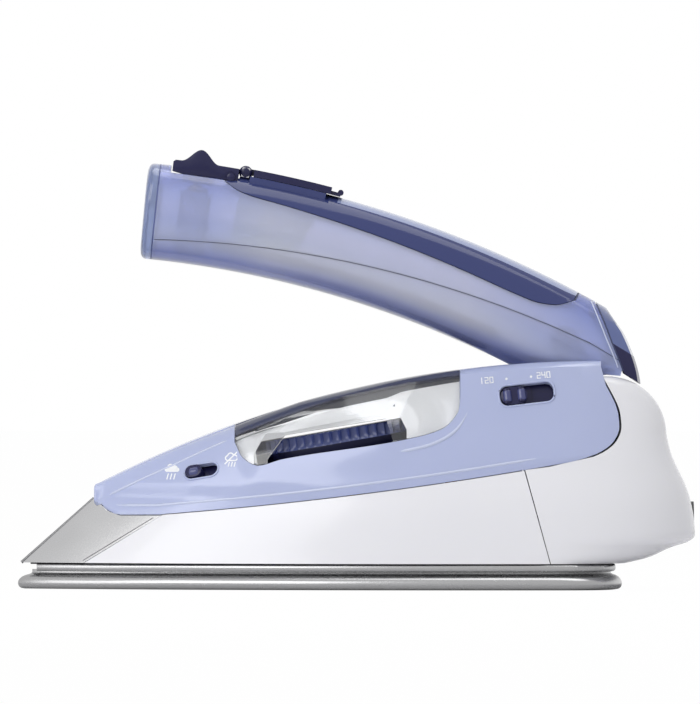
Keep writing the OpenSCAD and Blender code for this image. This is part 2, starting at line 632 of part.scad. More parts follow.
// Stations from the window's own axis: along the border and the opening's lower edge, then along its
// upper edge.
win_low = [-30.3, -27.9, -23.2, open_low[0][0], -15.2, -7, 0.4, 7.8, 13.5, open_low[1][0], 27, 34.7,
    38.5, 40.4, 40.8];
win_last = len(win_low) - 1;
win_cut = [3, 9];
function win_high(k) = k <= win_cut[0] ? lerp(-30.3, open_high[0][0], k / win_cut[0])
  : k <= win_cut[1] ? lerp(open_high[0][0], open_high[1][0], (k - win_cut[0]) / (win_cut[1] - win_cut[0]))
  : lerp(open_high[1][0], 40.8, (k - win_cut[1]) / (win_last - win_cut[1]));
function win_row(k, t) =
  let (xl = win_x + win_low[k], xu = win_x + win_high(k), ze = edge_z(xu),
       zb = min(border_z(xl) + fit, ze - 1.6),
       inside = k >= win_cut[0] && k <= win_cut[1],
       z1 = inside ? win_z + lookup(win_low[k], open_low) : lerp(zb, edge_z(xl), 0.25),
       z2 = inside ? win_z + lookup(win_high(k), open_high) : lerp(zb, ze, 0.7))
  both_sides(concat([on_wall(xl, zb, t), on_wall(xl, max(z1, zb + 0.3), t), on_wall(xu, min(z2,
      ze - 0.8 * t - 0.6), t)],
                    top_part(xu, t)));
module dial_window() {
  outer = [for (k = [0:win_last]) win_row(k, 0)];
  inner = [for (k = [0:win_last]) win_row(k, window_wall)];
  n = len(outer[0]) - 1;
  color(c_clear) wall_grid(outer, inner, open = [[win_cut[0], win_cut[1], 0, 2], [win_cut[0],
      win_cut[1], n - 2, n]]);
}

volt_x = hinge_x - 26;
volt_z = crest_h - 10.3;
volt_slope = 7;
slot_h = 6.4;
steam_x = nose_x + 58.5;
steam_z = 37.6;
steam_slope = 10;
steam_slot_h = 4.8;
// Yaw and lean of the left side wall at a place.
function wall_yaw(x, z) = atan((half_w(x + 3, z, 0) - half_w(x - 3, z, 0)) / 6);
function wall_lean(x, z) = atan((half_w(x, z - 3, 0) - half_w(x, z + 3, 0)) / 6);
// Puts its children on the left wall, with X along the slot and -Y pointing out.
module on_left_wall(x, z, slope) {
  translate([x, -half_w(x, z, 0), z]) rotate([0, 0, -wall_yaw(x, z)])
    rotate([-wall_lean(x, z), 0, 0]) rotate([0, -slope, 0]) children();
}
module stadium(length, height, depth) {
  r = height / 2 - 0.01;
  rotate([90, 0, 0]) linear_extrude(depth, center = true) union() {
    square([length - 2 * r, height - 0.02], center = true);
    for (s = [-1, 1]) {
      translate([s * (length / 2 - r), 0]) circle(r);
    }
  }
}

// =================== Thermostat and its dial ===================
module dial_frame() {
  translate([dial_x, 0, dial_z]) rotate([0, -dial_tilt, 0]) children();
}
function ribbed(r_low, r_high, count) =
  [for (i = [0:count - 1], k = [0:3]) let (a = 360 / count * (i + [0, 0.15, 0.5, 0.65][k]),
      r = k < 2 ? r_low : r_high)
    [r * cos(a), r * sin(a)]];
spindle_r = 3;
module thermostat_dial() {
  color(c_navy) dial_frame() difference() {
    union() {
      translate([0, 0, -dial_t / 2]) cylinder(r = dial_r, h = dial_t / 2, $fn = 96);
      linear_extrude(dial_t / 2) polygon(ribbed(dial_r - 1, dial_r - 0.2, dial_ribs));
    }
    difference() {
      translate([0, 0, -dial_t / 2 - 1]) cylinder(r = dial_r - 3, h = dial_t - 1);
      translate([0, 0, -dial_t / 2 - 1]) cylinder(r = spindle_r + 3, h = dial_t);
    }
    translate([0, 0, -dial_t / 2 - 1]) cylinder(r = spindle_r + 0.01, h = dial_t - 1);
  }
}
therm_z = casting_top;
body_t = 7.3;
spindle_l = dial_z - therm_z - gasket_t - plate_t - body_t - 0.9;
module dial_spindle() {
  color(c_brass) dial_frame() union() {
    translate([0, 0, -spindle_l]) cylinder(r = spindle_r, h = spindle_l + dial_t / 2 - 2.2);
    translate([0, 0, -dial_t / 2 - 3]) cylinder(r = spindle_r + 1.5, h = 2.7);
  }
}
module thermostat_body() {
  color(c_white) translate([dial_x, 0, therm_z]) difference() {
    translate([-therm_l / 2, -therm_w / 2, gasket_t + plate_t]) cube([therm_l, therm_w, body_t]);
    translate([-therm_l / 2 - 1, -2.5, 6]) cube([7, 5, 1.2]);
  }
}
module thermostat_blade() {
  color(c_brass) translate([dial_x - therm_l / 2 - 6, -2.4, therm_z + 6.1]) cube([11.5, 4.8, 1]);
}
fuse_x = dial_x + 31;
module thermal_fuse() {
  fuse_r = 1.6;
  color(c_white) translate([fuse_x, -9, casting_top + fuse_r]) rotate([0, 90, 0]) union() {
    cylinder(r = fuse_r, h = 13, $fn = 32);
    translate([0, 0, -6]) cylinder(r = 0.6, h = 25, $fn = 24);
  }
}

// =================== Water and steam ===================
valve_z = casting_top + gasket_t + plate_t;
valve_t = 12.5;
needle_r = 1.25;
spring_t = 3.6;
module drip_valve_body() {
  color(c_hose) translate([valve_x, 0, valve_z]) difference() {
    union() {
      cylinder(r = valve_r, h = valve_t);
      translate([0, 0, 4.6]) rotate([-90, 0, 0]) cylinder(r = 1.8, h = valve_r + 4);
    }
    translate([0, 0, -1]) cylinder(r = needle_r + run_fit, h = valve_t + 2);
    translate([0, 1.5, 4.6]) rotate([-90, 0, 0]) cylinder(r = 0.9, h = valve_r + 4, $fn = 24);
  }
}
module valve_needle() {
  color(c_brass) translate([valve_x, 0, valve_z + 1]) union() {
    cylinder(r = needle_r, h = valve_t + spring_t + 2);
    translate([0, 0, valve_t + spring_t - 1 + 0.3]) cylinder(r = 2.8, h = 1.2);
  }
}
module needle_spring() {
  color(c_steel) translate([valve_x, 0, valve_z + valve_t]) coil(2.1, 0.3, 3, spring_t);
}
steam_travel = steam_slot_l - steam_knob_l;
module steam_slider() {
  proud = 0.9;
  color(c_navy) on_left_wall(steam_x, steam_z, steam_slope) translate([-steam_travel / 2, 0, 0]) union() {
    translate([0, (wall + 1 - proud) / 2, 0]) stadium(steam_knob_l - 0.5, steam_slot_h - 0.6,
        wall + 1 + proud);
    translate([0, wall + 1.1, 0]) stadium(steam_knob_l + 2, steam_slot_h + 1.4, 1);
  }
}
hose_r = 2;
feed_z = shield_z + shield_t + hose_r + 0.1;
feed_path = [[hinge_x - 9.5, 12, 40], [hinge_x - 15, 12.5, 35], [hinge_x - 24, 16, 29.5], [48, 19.8,
    feed_z + 1.5],
             [38, 20, feed_z], [20, 17.5, feed_z], [0, 15.5, feed_z], [-25, 15, feed_z], [-36, 15, feed_z],
             [valve_x + 0.8, 13, feed_z + 0.3], [valve_x, 10.5, valve_z + 4.6], [valve_x,
                 valve_r + 4.2, valve_z + 4.6]];
module feed_hose() {
  color(c_hose) tube(feed_path, hose_r);
}

// =================== Electrical parts ===================
volt_travel = volt_slot_l - volt_knob_l;
module voltage_selector() {
  color(c_navy) on_left_wall(volt_x, volt_z, volt_slope) translate([-volt_travel / 2, 0, 0]) union() {
    translate([0, wall / 2 + 0.5, 0]) stadium(volt_knob_l - 0.5, slot_h - 0.6, wall + 0.6);
    for (s = [-1, 1]) {
      translate([s * volt_knob_l / 4, 0.4, 0]) cylinder(r = 1.1, h = slot_h - 1.6, center = true);
    }
    translate([0, wall + 1, 0]) cube([volt_knob_l + 2, 1.2, slot_h + 1.6], center = true);
  }
}
module selector_switch() {
  color(c_black) translate([volt_x - 9, -pocket_half - wall - 2.8, volt_z - 9.5]) cube([18, 2.6, 10]);
}
module pilot_lamp() {
  lamp_x = dial_x + dial_r + 4.6;
  color([0.95, 0.6, 0.4]) union() {
    translate([lamp_x, 0, shield_z + shield_t]) cylinder(r = 2, h = 47 - shield_z - shield_t);
    translate([lamp_x, 0, 46]) cylinder(r = 2.4, h = 4);
    translate([lamp_x, 0, 50]) sphere(r = 2.4);
  }
}
block_x = hinge_x + 5.6;
module terminal_block() {
  color(c_white) difference() {
    translate([block_x, -10, shield_z + shield_t]) cube([9, 20, 9]);
    for (y = [-6, 0, 6]) {
      translate([block_x + 4.5, y, shield_z + shield_t + 4]) cylinder(r = 1.8, h = 8, $fn = 24);
    }
  }
}
wire_r = 1;
bz = shield_z + shield_t + 5;
wire_live = [[block_x + 4.5, -10.5, bz], [block_x + 3, -15.5, bz + 1], [hinge_x + 2, -19.5, bz + 6],
    [hinge_x - 8, -20.5, 42],
             [hinge_x - 16, -20.2, 48], [volt_x + 3, -19.8, volt_z - 10.6]];
wire_therm = [[block_x - 0.2, 0, bz], [block_x - 10, -1, bz], [hinge_x - 30, -5, bz], [30, -5.5, bz],
    [12, -3, bz - 2],
              [dial_x + therm_l / 2 + 0.9, 0, bz - 2.6]];
wire_element = [[block_x + 4.5, 10.5, bz], [block_x + 2, 17, bz], [element_back + 8, 22, bz - 2],
                [element_back + 6, u_leg, casting_top + 4.8]];
module wiring() {
  color(c_black) union() {
    tube(wire_live, wire_r);
    tube(wire_therm, wire_r);
    tube(wire_element, wire_r);
  }
}
gland_face = waist_x(gland_z) + 0.2;
module cord_gland() {
  color(c_black) translate([gland_face - gland_l, 0, gland_z]) rotate([0, 90, 0]) difference() {
    union() {
      cylinder(r = gland_r, h = gland_l);
      translate([0, 0, gland_l - wall - 3.6]) cylinder(r = gland_r + 1.1, h = 1.4);
    }
    translate([0, 0, -1]) cylinder(d = gland_bore_d, h = gland_l + 2);
  }
}

// =================== Hinge ===================
bearing_y = arm_w / 2 + 0.5;
bearing_w = 9;
foot_t = 3;
foot_screws = [for (s = [-1, 1]) [hinge_x - 11, s * (bearing_y + bearing_w / 2)]];
module hinge_bearings() {
  base_z = shield_z + shield_t;
  color(c_white) for (s = [-1, 1]) {
    translate([0, s * (bearing_y + bearing_w / 2), 0]) difference() {
      union() {
        rod_y(hinge_x, hinge_z, 7, bearing_w);
        translate([hinge_x - 5, -bearing_w / 2, base_z]) cube([10, bearing_w, hinge_z - base_z]);
        translate([hinge_x - 16, -bearing_w / 2, base_z]) cube([16, bearing_w, foot_t]);
      }
      rod_y(hinge_x, hinge_z, hinge_pin_d / 2 + run_fit, big);
      translate([hinge_x - 11, 0, base_z - 1]) cylinder(r = 1.6, h = foot_t + 2, $fn = 24);
    }
  }
}
module hinge_pin() {
  color(c_steel) rod_y(hinge_x, hinge_z, hinge_pin_d / 2, 2 * (bearing_y + bearing_w));
}
arm_r = 8;
arm_root = bow(mid_r - 0.3, arm_a);
module hinge_arm() {
  t = 4.6;
  dir = [hinge_x - arm_root[0], hinge_z - arm_root[1]];
  side = [-dir[1], dir[0]] / norm(dir) * t;
  color(c_steel) difference() {
    union() {
      rod_y(hinge_x, hinge_z, arm_r, arm_w);
      rod_y(arm_root[0], arm_root[1], t, arm_w);
      slab([arm_root + side, arm_root - side, [hinge_x, hinge_z] - side, [hinge_x, hinge_z] + side], arm_w);
    }
    rod_y(hinge_x, hinge_z, hinge_pin_d / 2 + run_fit, big);
    rod_y(arm_root[0], arm_root[1], 1.5 + fit, big);
  }
}
module handle_screws() {
  color(c_steel) rod_y(arm_root[0], arm_root[1], 1.5, handle_w - 2 * handle_wall - 0.5);
}
module housing_screws() {
  color(c_steel) for (p = foot_screws) {
    translate([p[0], p[1], shield_z - 2]) pan_screw(shield_t + foot_t + 2, 1.45);
  }
}

// =================== Handle mouldings ===================
trigger_a = front_a + 1.2;
trigger_end_a = trigger_a + arc_deg(trigger_l, top_r);
lid_a = trigger_end_a + 0.1;
lid_end_a = lid_a + arc_deg(lid_l, top_r);
// Both shells share these stations along the handle, so that their seam edges run together.
strip_a0 = 9.3;
strip_a1 = 26.4;
shell_as = [cap_a + 0.03, trigger_a - 0.08, 7.5, 8.4, strip_a0, trigger_end_a + 0.08, 11.2, 13.5, 16,
    18.5, 21, 22.5,
            23.6, 24.8, 25.6, strip_a1, 27.6, 28.8, 99];
shell_last = len(shell_as) - 1;
// A shell's row, ended on the curved rear edge at each radius.
function stop_a(i, r) = min(shell_as[i], end_a(r,
    seam / 6) - 0.12 * (shell_last - i) * (i > shell_last - 4 ? 1 : 0));
function lower_row(i, t) =
  let (rs = seam_r(min(shell_as[i], 30)) - fit / 2, low = bow_r + 2.4,
       side = [for (k = [0:3]) let (r = lerp(rs, low, k / 3))
         bow3(r + (k == 3 ? t * 0.5 : 0), stop_a(i, r), -grip_half(r + (k == 3 ? t * 0.5 : 0), t))],
       base = [for (k = [1:3]) let (y = lerp(grip_half(low + t * 0.5, t), 0, k / 3))
         bow3(mid_r - grip_high(y, t), stop_a(i, mid_r - grip_high(y, 0)), -y)])
  both_sides(concat(side, base));
module handle_lower_shell() {
  color(c_handle) wall_grid([for (i = [0:shell_last]) lower_row(i, 0)],
                            [for (i = [0:shell_last]) lower_row(i, handle_wall)], flip = true);
}

// The inset's border on the side of the handle, as radius below the top at each angle.
function strip_drop(a) = lookup(a, [[strip_a0, 2.6], [10.2, 5.2], [11.2, 6.2], [22.5, 9.4], [23.6,
    8.8], [24.8, 6.6], [25.6, 4.6], [strip_a1, 2.6]]);
tw = trigger_w / 2 + 0.5;
function upper_row(i, t) =
  let (as = min(shell_as[i], 30), rs = seam_r(as) + fit / 2,
       rb = top_r - strip_drop(min(max(as, strip_a0),
           strip_a1)) - (as > strip_a0 && as < strip_a1 ? fit : 0),
       re = t > 0 ? min(rb, mid_r + grip_high(tw + 0.15, t)) : rb,
       side = [for (k = [0:3]) let (r = lerp(rs, re, k / 3)) bow3(r, stop_a(i, r), -grip_half(r, t))],
       over = [for (y = [tw, tw / 2, 0]) bow3(mid_r + grip_high(y, t), stop_a(i, mid_r + grip_high(y,
           0)), -y)])
  both_sides(concat(side, over));
module handle_upper_shell() {
  outer = [for (i = [0:shell_last]) upper_row(i, 0)];
  inner = [for (i = [0:shell_last]) upper_row(i, handle_wall)];
  n = len(outer[0]) - 1;
  color(c_handle) wall_grid(outer, inner, open = [[4, 15, 3, n - 3], [1, 5, 4, n - 4]]);
}
// The glossy inset on top of the handle, with the filler mouth under the lid.
strip_as = [trigger_end_a + 0.08, lid_a + 1.2, 11.8, 13.2, lid_end_a - 1.6, 15.5, 17, 19, 21, 22.5,
    23.6, 24.8, 25.6,
            strip_a1 - 0.15];
function strip_row(i, t) =
  let (a = strip_as[i], first_a = i == 0 ? strip_a0 + 0.1 : a,
       rb = top_r - strip_drop(first_a) + fit, re = t > 0 ? min(rb, mid_r + grip_high(tw - 0.5, t)) : rb,
       yb = grip_half(re, t), mouth = (trigger_w - 7) / 2)
  both_sides(concat([bow3(re, first_a, -yb)],
    [for (y = [lerp(tw, yb, 0.5), mouth + 1.5, mouth, mouth / 2, 0]) let (yy = min(y, yb - 0.2))
      bow3(mid_r + grip_high(yy, t), a, -yy)]));
module handle_top_strip() {
  outer = [for (i = [0:len(strip_as) - 1]) strip_row(i, 0)];
  inner = [for (i = [0:len(strip_as) - 1]) strip_row(i, handle_wall)];
  n = len(outer[0]) - 1;
  color(c_clear) wall_grid(outer, inner, open = [[1, 4, 3, n - 3]]);
}
module handle_end_cap() {
  function ring(a, inset) = [for (k = [36:-1:1]) let (t = 360 * k / 36, p = 2 / squareness)
    bow3(mid_r + (handle_d / 2 - inset) * sign(sin(t)) * pow(abs(sin(t)), p), a,
         (handle_w / 2 - inset) * sign(cos(t)) * pow(abs(cos(t)), p))];
  color(c_handle) skin([ring(front_a - 0.04, 2.2), ring(front_a, 1.1), ring(front_a + 0.13, 0.3),
                        ring(front_a + 0.28, 0), ring(cap_a - 0.03, 0),
                        ring(cap_a - 0.03, handle_wall + 0.7), ring(cap_a + 0.25, handle_wall + 0.8)]);
}
// The tank's rear wall: a round shell over the housing's top, split by the hinge arm.
module tank_bulkhead() {
  color(c_handle) difference() {
    rod_y(hinge_x, hinge_z, dome_r + heel_gap + handle_wall, 18);
    rod_y(hinge_x, hinge_z, dome_r + heel_gap, big);
    slab(concat([[hinge_x, hinge_z]], arc_xz(hinge_x, hinge_z, 60, 121, 360 + 84, 20)));
    intersection() {
      rod_y(hinge_x, hinge_z, big / 2, arm_w + 0.6);
      slab(concat([[hinge_x, hinge_z]], arc_xz(hinge_x, hinge_z, 60, 97, 160, 6)));
    }
  }
}
button_w = 13;
// The heel cover is a bent strap: each row goes from the left seam across the back to the right one.
strap_low = bow_r + 15.4;
strap_high = top_r - 0.06;
// Each row's height up the heel, and how far it reaches back from the seam.
strap_f = [0, 0.18, 0.37, 0.55, 0.72, 0.85, 0.93, 0.975, 1, 1.001, 1.002];
strap_back = [1, 1, 1, 1, 1, 1, 1, 1, 1, 0.55, 0.12];
function strap_row(i, t) =
  let (ro = lerp(strap_low, strap_high, strap_f[i]),
       r = lerp(strap_low, strap_high - (t > 0 ? t + 0.3 : 0), strap_f[i]),
       y = grip_half(min(r, strap_high), t) * (i < 9 ? 1 : i == 9 ? 0.66 : 0.33),
       in_y = min(button_w / 2 + 0.3, 0.75 * y), s = heel_seam_a(r) + 0.04,
       a = s + max(heel_back_a(ro) - arc_deg(t, r) * 0.95 - s, 0.08) * strap_back[i],
           e = 0.1 * strap_back[i])
  both_sides([bow3(r, s, -y), bow3(r, max(a - e, s + 0.05 * strap_back[i]), -max(y - 0.3, 0.9 * y)),
      bow3(r, a + e, -in_y),
              bow3(r, a + 1.2 * e, -in_y / 2), bow3(r, a + 1.3 * e, 0)]);
module heel_cover() {
  last = len(strap_f) - 1;
  outer = [for (i = [0:last]) strap_row(i, 0)];
  inner = [for (i = [0:last]) strap_row(i, handle_wall)];
  n = len(outer[0]) - 1;
  color(c_handle) wall_grid(outer, inner, open = [[0, 2, 2, n - 2]], flip = true);
}

// =================== Controls on the handle ===================
module bow_block(r0, r1, a0, a1, width) {
  n = 8;
  slab(concat([for (i = [0:n]) bow(r0, lerp(a0, a1, i / n))], [for (i = [n:-1:0]) bow(r1, lerp(a0, a1,
      i / n))]), width);
}
trigger_pin_a = trigger_end_a - 0.35;
trigger_pin_r = top_r - 1.2;
pin_r = 1;
bump_a = trigger_a + 1.35;
bump_h = 4.1;
bump_reach = 0.95;
function trigger_top(a) =
  top_r + 1.8 + bump_h * pow(cos(90 * min(abs(a - bump_a) / bump_reach, 1)), 2) - (a < trigger_a + 0.05 ? 0.6 : 0);
module steam_trigger() {
  n = 30;
  pin = bow(trigger_pin_r, trigger_pin_a);
  color(c_navy) difference() {
    union() {
      slab(concat([for (i = [0:6]) bow(top_r - 2.4 + (i == 0 ? 0.6 : 0), lerp(trigger_a, trigger_end_a, i / 6))],
                  [for (i = [n:-1:0]) let (a = lerp(trigger_a, trigger_end_a, i / n)) bow(trigger_top(a), a)]), trigger_w);
      rod_y(pin[0], pin[1], 1.9, trigger_w);
    }
    rod_y(pin[0], pin[1], pin_r + run_fit, big);
  }
}
module trigger_pin() {
  pin = bow(trigger_pin_r, trigger_pin_a);
  color(c_steel) rod_y(pin[0], pin[1], pin_r, trigger_w + 0.8);
}
lid_pin_a = lid_a + 0.24;
lid_pin_r = top_r + 1.65;
lid_pin_half = 0.8;
ear_y = trigger_w / 2 - 3.7;
module filler_lid() {
  pin = bow(lid_pin_r, lid_pin_a);
  lip = bow(top_r + 1.5, lid_end_a - 0.12);
  color(c_navy) difference() {
    union() {
      bow_block(top_r + 0.2, top_r + 2.4, lid_pin_a + 0.42, lid_end_a - 0.6, trigger_w);
      bow_block(top_r + 0.2, top_r + 1.3, lid_end_a - 0.7, lid_end_a - 0.1, trigger_w - 4);
      rod_y(lip[0], lip[1], 0.9, trigger_w - 4);
      bow_block(top_r + 0.5, top_r + 2.4, lid_pin_a, lid_pin_a + 0.5, 2 * ear_y - 0.6);
      rod_y(pin[0], pin[1], 1.4, 2 * ear_y - 0.6);
    }
    rod_y(pin[0], pin[1], lid_pin_half + run_fit, big);
  }
}
// The lid's pin, held between two ears that stand on the handle's top.
module lid_pin() {
  pin = bow(lid_pin_r, lid_pin_a);
  color(c_steel) union() {
    rod_y(pin[0], pin[1], lid_pin_half, 2 * ear_y + 1);
    for (s = [-1, 1]) {
      translate([0, s * (ear_y + 1), 0]) bow_block(top_r - 0.5, top_r + 2.6, lid_pin_a - 0.2,
          lid_pin_a + 0.2, 2);
    }
  }
}
module lid_seal() {
  color(c_black) bow_block(top_r - 1.6, top_r + 0.15, lid_a + 1.35, lid_end_a - 1.8, trigger_w - 8);
}
well_a = [lid_a + 0.1, lid_end_a - 0.8];
module filler_well() {
  well_w = trigger_w - 4;
  low = top_r - 21.3;
  high = mid_r + grip_high(well_w / 2, handle_wall) - 0.6;
  color(c_hose) difference() {
    slab([bow(low, well_a[0]), bow(low, well_a[1] - 0.9), bow(high, well_a[1]), bow(high, well_a[0])],
        well_w);
    slab([bow(low + 1.4, well_a[0] + 0.25), bow(low + 1.4, well_a[1] - 1.15), bow(high + 1,
        well_a[1] - 0.25),
          bow(high + 1, well_a[0] + 0.25)], well_w - 3);
    slab([bow(low - 1, well_a[0] + 1), bow(low - 1, well_a[0] + 1.6), bow(low + 3, well_a[0] + 1.6),
          bow(low + 3, well_a[0] + 1)], 6);
  }
}
pump_a = bump_a;
pump_top = top_r - 7.5;
pump_l = handle_d - handle_wall - 7.5 - 0.8;
pump_r = 5;
piston_r = 3.4;
module pump_frame(r) {
  p = bow(r, pump_a);
  translate([p[0], 0, p[1]]) rotate([0, pump_a, 0]) children();
}
module pump_barrel() {
  color(c_hose) pump_frame(pump_top - pump_l) difference() {
    cylinder(r = pump_r, h = pump_l);
    translate([0, 0, 1.5]) cylinder(r = piston_r + run_fit, h = pump_l);
  }
}
module pump_piston() {
  color(c_brass) pump_frame(pump_top - 5) union() {
    cylinder(r = piston_r, h = 6.6);
    translate([0, 0, 6]) cylinder(r = 1.6, h = 3.6);
  }
}
module pump_spring() {
  color(c_steel) pump_frame(pump_top - pump_l + 1.5) coil(2.6, 0.35, 4, pump_l - 6.6);
}
outlet_path = [for (i = [0:10]) let (a = lerp(pump_a + 1.2, 25.4, i / 10)) bow3(bow_r + 6.1, a, 7.5)];
module tank_outlet_hose() {
  color(c_hose) tube(outlet_path, 1.8);
}

// =================== Release button ===================
module release_button() {
  color(c_navy) union() {
    slab([[hinge_x + 5.4, hinge_z + 23.6], [hinge_x + 7.6, hinge_z + 23.2], [hinge_x + 9.2, hinge_z + 19.6],
          [hinge_x + 10.3, hinge_z + 17.2], [hinge_x + 6.6, hinge_z + 18.5], [hinge_x + 4.6,
              hinge_z + 21.2]], button_w);
    slab([[hinge_x + 3, hinge_z + 21.6], [hinge_x + 5.6, hinge_z + 21.6], [hinge_x + 4.4, hinge_z + 23.6],
          [hinge_x + 3.6, hinge_z + 26], [hinge_x + 2.6, hinge_z + 26]], button_w - 2);
  }
}
module button_spring() {
  color(c_steel) translate([hinge_x + 2.5, 0, hinge_z + 23.9]) rotate([0, -90, 0]) coil(1.8, 0.3, 3, 4.6);
}

soleplate();
base_seal();
heater_casting();
heating_element();
element_terminals();
chamber_gasket();
steam_chamber_cover();
heat_shield();
heater_screws();
precision_tip();
skirt();
rear_housing();
top_cover();
dial_window();
thermostat_body();
thermostat_blade();
thermal_fuse();
dial_spindle();
thermostat_dial();
drip_valve_body();
valve_needle();
needle_spring();
steam_slider();
feed_hose();
voltage_selector();
selector_switch();
pilot_lamp();
terminal_block();
wiring();
cord_gland();
hinge_bearings();
hinge_pin();
housing_screws();
handle_lower_shell();
handle_upper_shell();
handle_end_cap();
handle_top_strip();
heel_cover();
tank_bulkhead();
hinge_arm();
handle_screws();
tank_outlet_hose();
filler_well();
filler_lid();
lid_seal();
lid_pin();
steam_trigger();
trigger_pin();
pump_barrel();
pump_piston();
pump_spring();
release_button();
button_spring();
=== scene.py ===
# Looks of the folding travel steam iron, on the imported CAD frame. Lengths are in millimetres until a mesh is made.
import bpy, bmesh, json, math
from mathutils import Vector, Matrix


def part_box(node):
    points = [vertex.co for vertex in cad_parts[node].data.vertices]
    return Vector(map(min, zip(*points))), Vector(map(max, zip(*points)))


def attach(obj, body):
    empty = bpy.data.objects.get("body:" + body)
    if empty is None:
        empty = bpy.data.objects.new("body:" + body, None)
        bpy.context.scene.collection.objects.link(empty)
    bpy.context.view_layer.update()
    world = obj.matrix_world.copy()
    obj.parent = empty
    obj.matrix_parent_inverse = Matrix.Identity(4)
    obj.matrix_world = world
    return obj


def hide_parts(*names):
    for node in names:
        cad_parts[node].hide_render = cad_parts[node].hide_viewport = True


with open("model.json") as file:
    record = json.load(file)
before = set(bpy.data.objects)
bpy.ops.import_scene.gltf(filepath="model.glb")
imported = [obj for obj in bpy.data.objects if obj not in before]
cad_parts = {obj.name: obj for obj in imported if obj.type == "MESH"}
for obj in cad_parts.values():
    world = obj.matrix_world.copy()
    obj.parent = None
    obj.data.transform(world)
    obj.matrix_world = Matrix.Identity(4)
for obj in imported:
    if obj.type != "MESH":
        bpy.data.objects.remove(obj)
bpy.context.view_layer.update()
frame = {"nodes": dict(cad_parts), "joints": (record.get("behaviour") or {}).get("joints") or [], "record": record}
NODES = frame["nodes"]
K = 1000.0

# ---------------------------------------------------------------- numbers
def low(node):
    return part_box(node)[0] * K

def high(node):
    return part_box(node)[1] * K

def joint_at(name):
    """A joint's place, in x and z."""
    pos = next(j for j in frame["joints"] if j["name"] == name)["pos_m"]
    return pos[0] * K, pos[2] * K

nose_x, tail_x = low("soleplate").x, -low("soleplate").x
heel_x, sole_w, sole_t = high("soleplate").x, 2 * high("soleplate").y, high("soleplate").z
wall, seam, fit = 2.2, 0.25, 0.15
skirt_w, block_w, handle_w, handle_d = 81.0, 46.0, 30.0, 30.5
skirt_z = sole_t + 0.5
hinge_x, hinge_z = joint_at("handle_fold")
dial_x, dial_z = joint_at("dial_turn")
dial_tilt = 9.8
crest_h, crest_r, crown = 72.3, 342.0, 5.0
dome_r, heel_gap, side_gap = 18.4, 0.6, 1.3
win_x, win_z = nose_x + 99.5, 45.9
pocket_half = handle_w / 2 + side_gap
dome_half = pocket_half - 0.6

def lerp(a, b, t):
    return a + (b - a) * t

def clamp(v):
    return max(0.0, min(1.0, v))

def between(values, i):
    """A list read at a whole or a part index."""
    i0 = min(int(i), len(values) - 2)
    return lerp(values[i0], values[i0 + 1], i - i0)

def look(x, pts):
    """Straight lines through the points."""
    if x <= pts[0][0]:
        return pts[0][1]
    for (a, fa), (b, fb) in zip(pts, pts[1:]):
        if x <= b:
            return fa + (fb - fa) * (x - a) / (b - a)
    return pts[-1][1]

def flow(x, pts):
    """A smooth curve through the points that never overshoots."""
    n = len(pts)
    if x <= pts[0][0]:
        return pts[0][1]
    if x >= pts[-1][0]:
        return pts[-1][1]
    d = [(pts[i + 1][1] - pts[i][1]) / (pts[i + 1][0] - pts[i][0]) for i in range(n - 1)]
    m = [0 if a * b <= 0 else 2 * a * b / (a + b) for a, b in zip(d, d[1:])]
    m = [d[0]] + m + [d[-1]]
    i = max(k for k in range(n - 1) if x >= pts[k][0])
    h = pts[i + 1][0] - pts[i][0]
    t = (x - pts[i][0]) / h
    return ((1 + 2 * t) * (1 - t) ** 2 * pts[i][1] + t * (1 - t) ** 2 * h * m[i]
            + t * t * (3 - 2 * t) * pts[i + 1][1] + t * t * (t - 1) * h * m[i + 1])

# ---------------------------------------------------------------- body surface, as in the CAD source
tan_nose = math.tan(math.radians(42))
nose_front_z, nose_bluff = 29.1, 4.4
tail_start = hinge_x - 30

def side_w(z):
    return flow(z, [[skirt_z, skirt_w / 2], [25, skirt_w / 2 - 2], [40, skirt_w / 2 - 6.5],
                    [55, lerp(skirt_w / 2 - 6.5, block_w / 2, 0.5)], [crest_h, block_w / 2]])

def front_x(z):
    return nose_x + 1 + (min(z, nose_front_z) - skirt_z + max(z - nose_front_z - nose_bluff, 0)) / tan_nose

def nose_len(z):
    return flow(z, [[skirt_z, 140], [47, 100], [crest_h, 90]])

def waist_x(z):
    return tail_x + flow(z, [[skirt_z, -22], [10, -15], [13.5, -7], [15, -2.2], [17, 0], [22, -0.3], [28, -1.4],
                             [33, -3], [38, -5.4], [43, -7.6], [hinge_z, hinge_x + dome_r - tail_x]])

def back_x(z):
    return waist_x(z) if z < hinge_z else hinge_x + math.sqrt(max(dome_r ** 2 - (z - hinge_z) ** 2, 0))

def flat_w(z):
    return look(z, [[skirt_z, dome_half - 4], [hinge_z - 10, dome_half]])

def half_w(x, z, inset=0.0):
    u = clamp((x - front_x(z) - 1.3 * inset) / nose_len(z))
    v = clamp((x - tail_start) / max(back_x(z) - inset - tail_start, 1e-6))
    base = (side_w(z) - inset) * (1 - (1 - u) ** 2) ** 0.85
    if v <= 0:
        return base
    return flat_w(z) + (base - flat_w(z)) * (1 - v ** 3) ** 0.45

def on_wall(x, z, inset=0.0):
    return (x, -half_w(x, z, inset), z)

crest_x = hinge_x - 3.7

def crest_z(x):
    return crest_h - crest_r + math.sqrt(crest_r ** 2 - (x - crest_x) ** 2)

hem_x0 = nose_x + 46
nose_tip_x = front_x(nose_front_z)
notch = [[nose_tip_x, nose_front_z], [nose_tip_x + 4.6, 25], [nose_tip_x + 8.4, 23.6], [hem_x0, 23.7]]

def hem_z(x):
    return flow(x, notch) if x < hem_x0 else 30.2 + 0.126 * x + 0.00037 * x * x

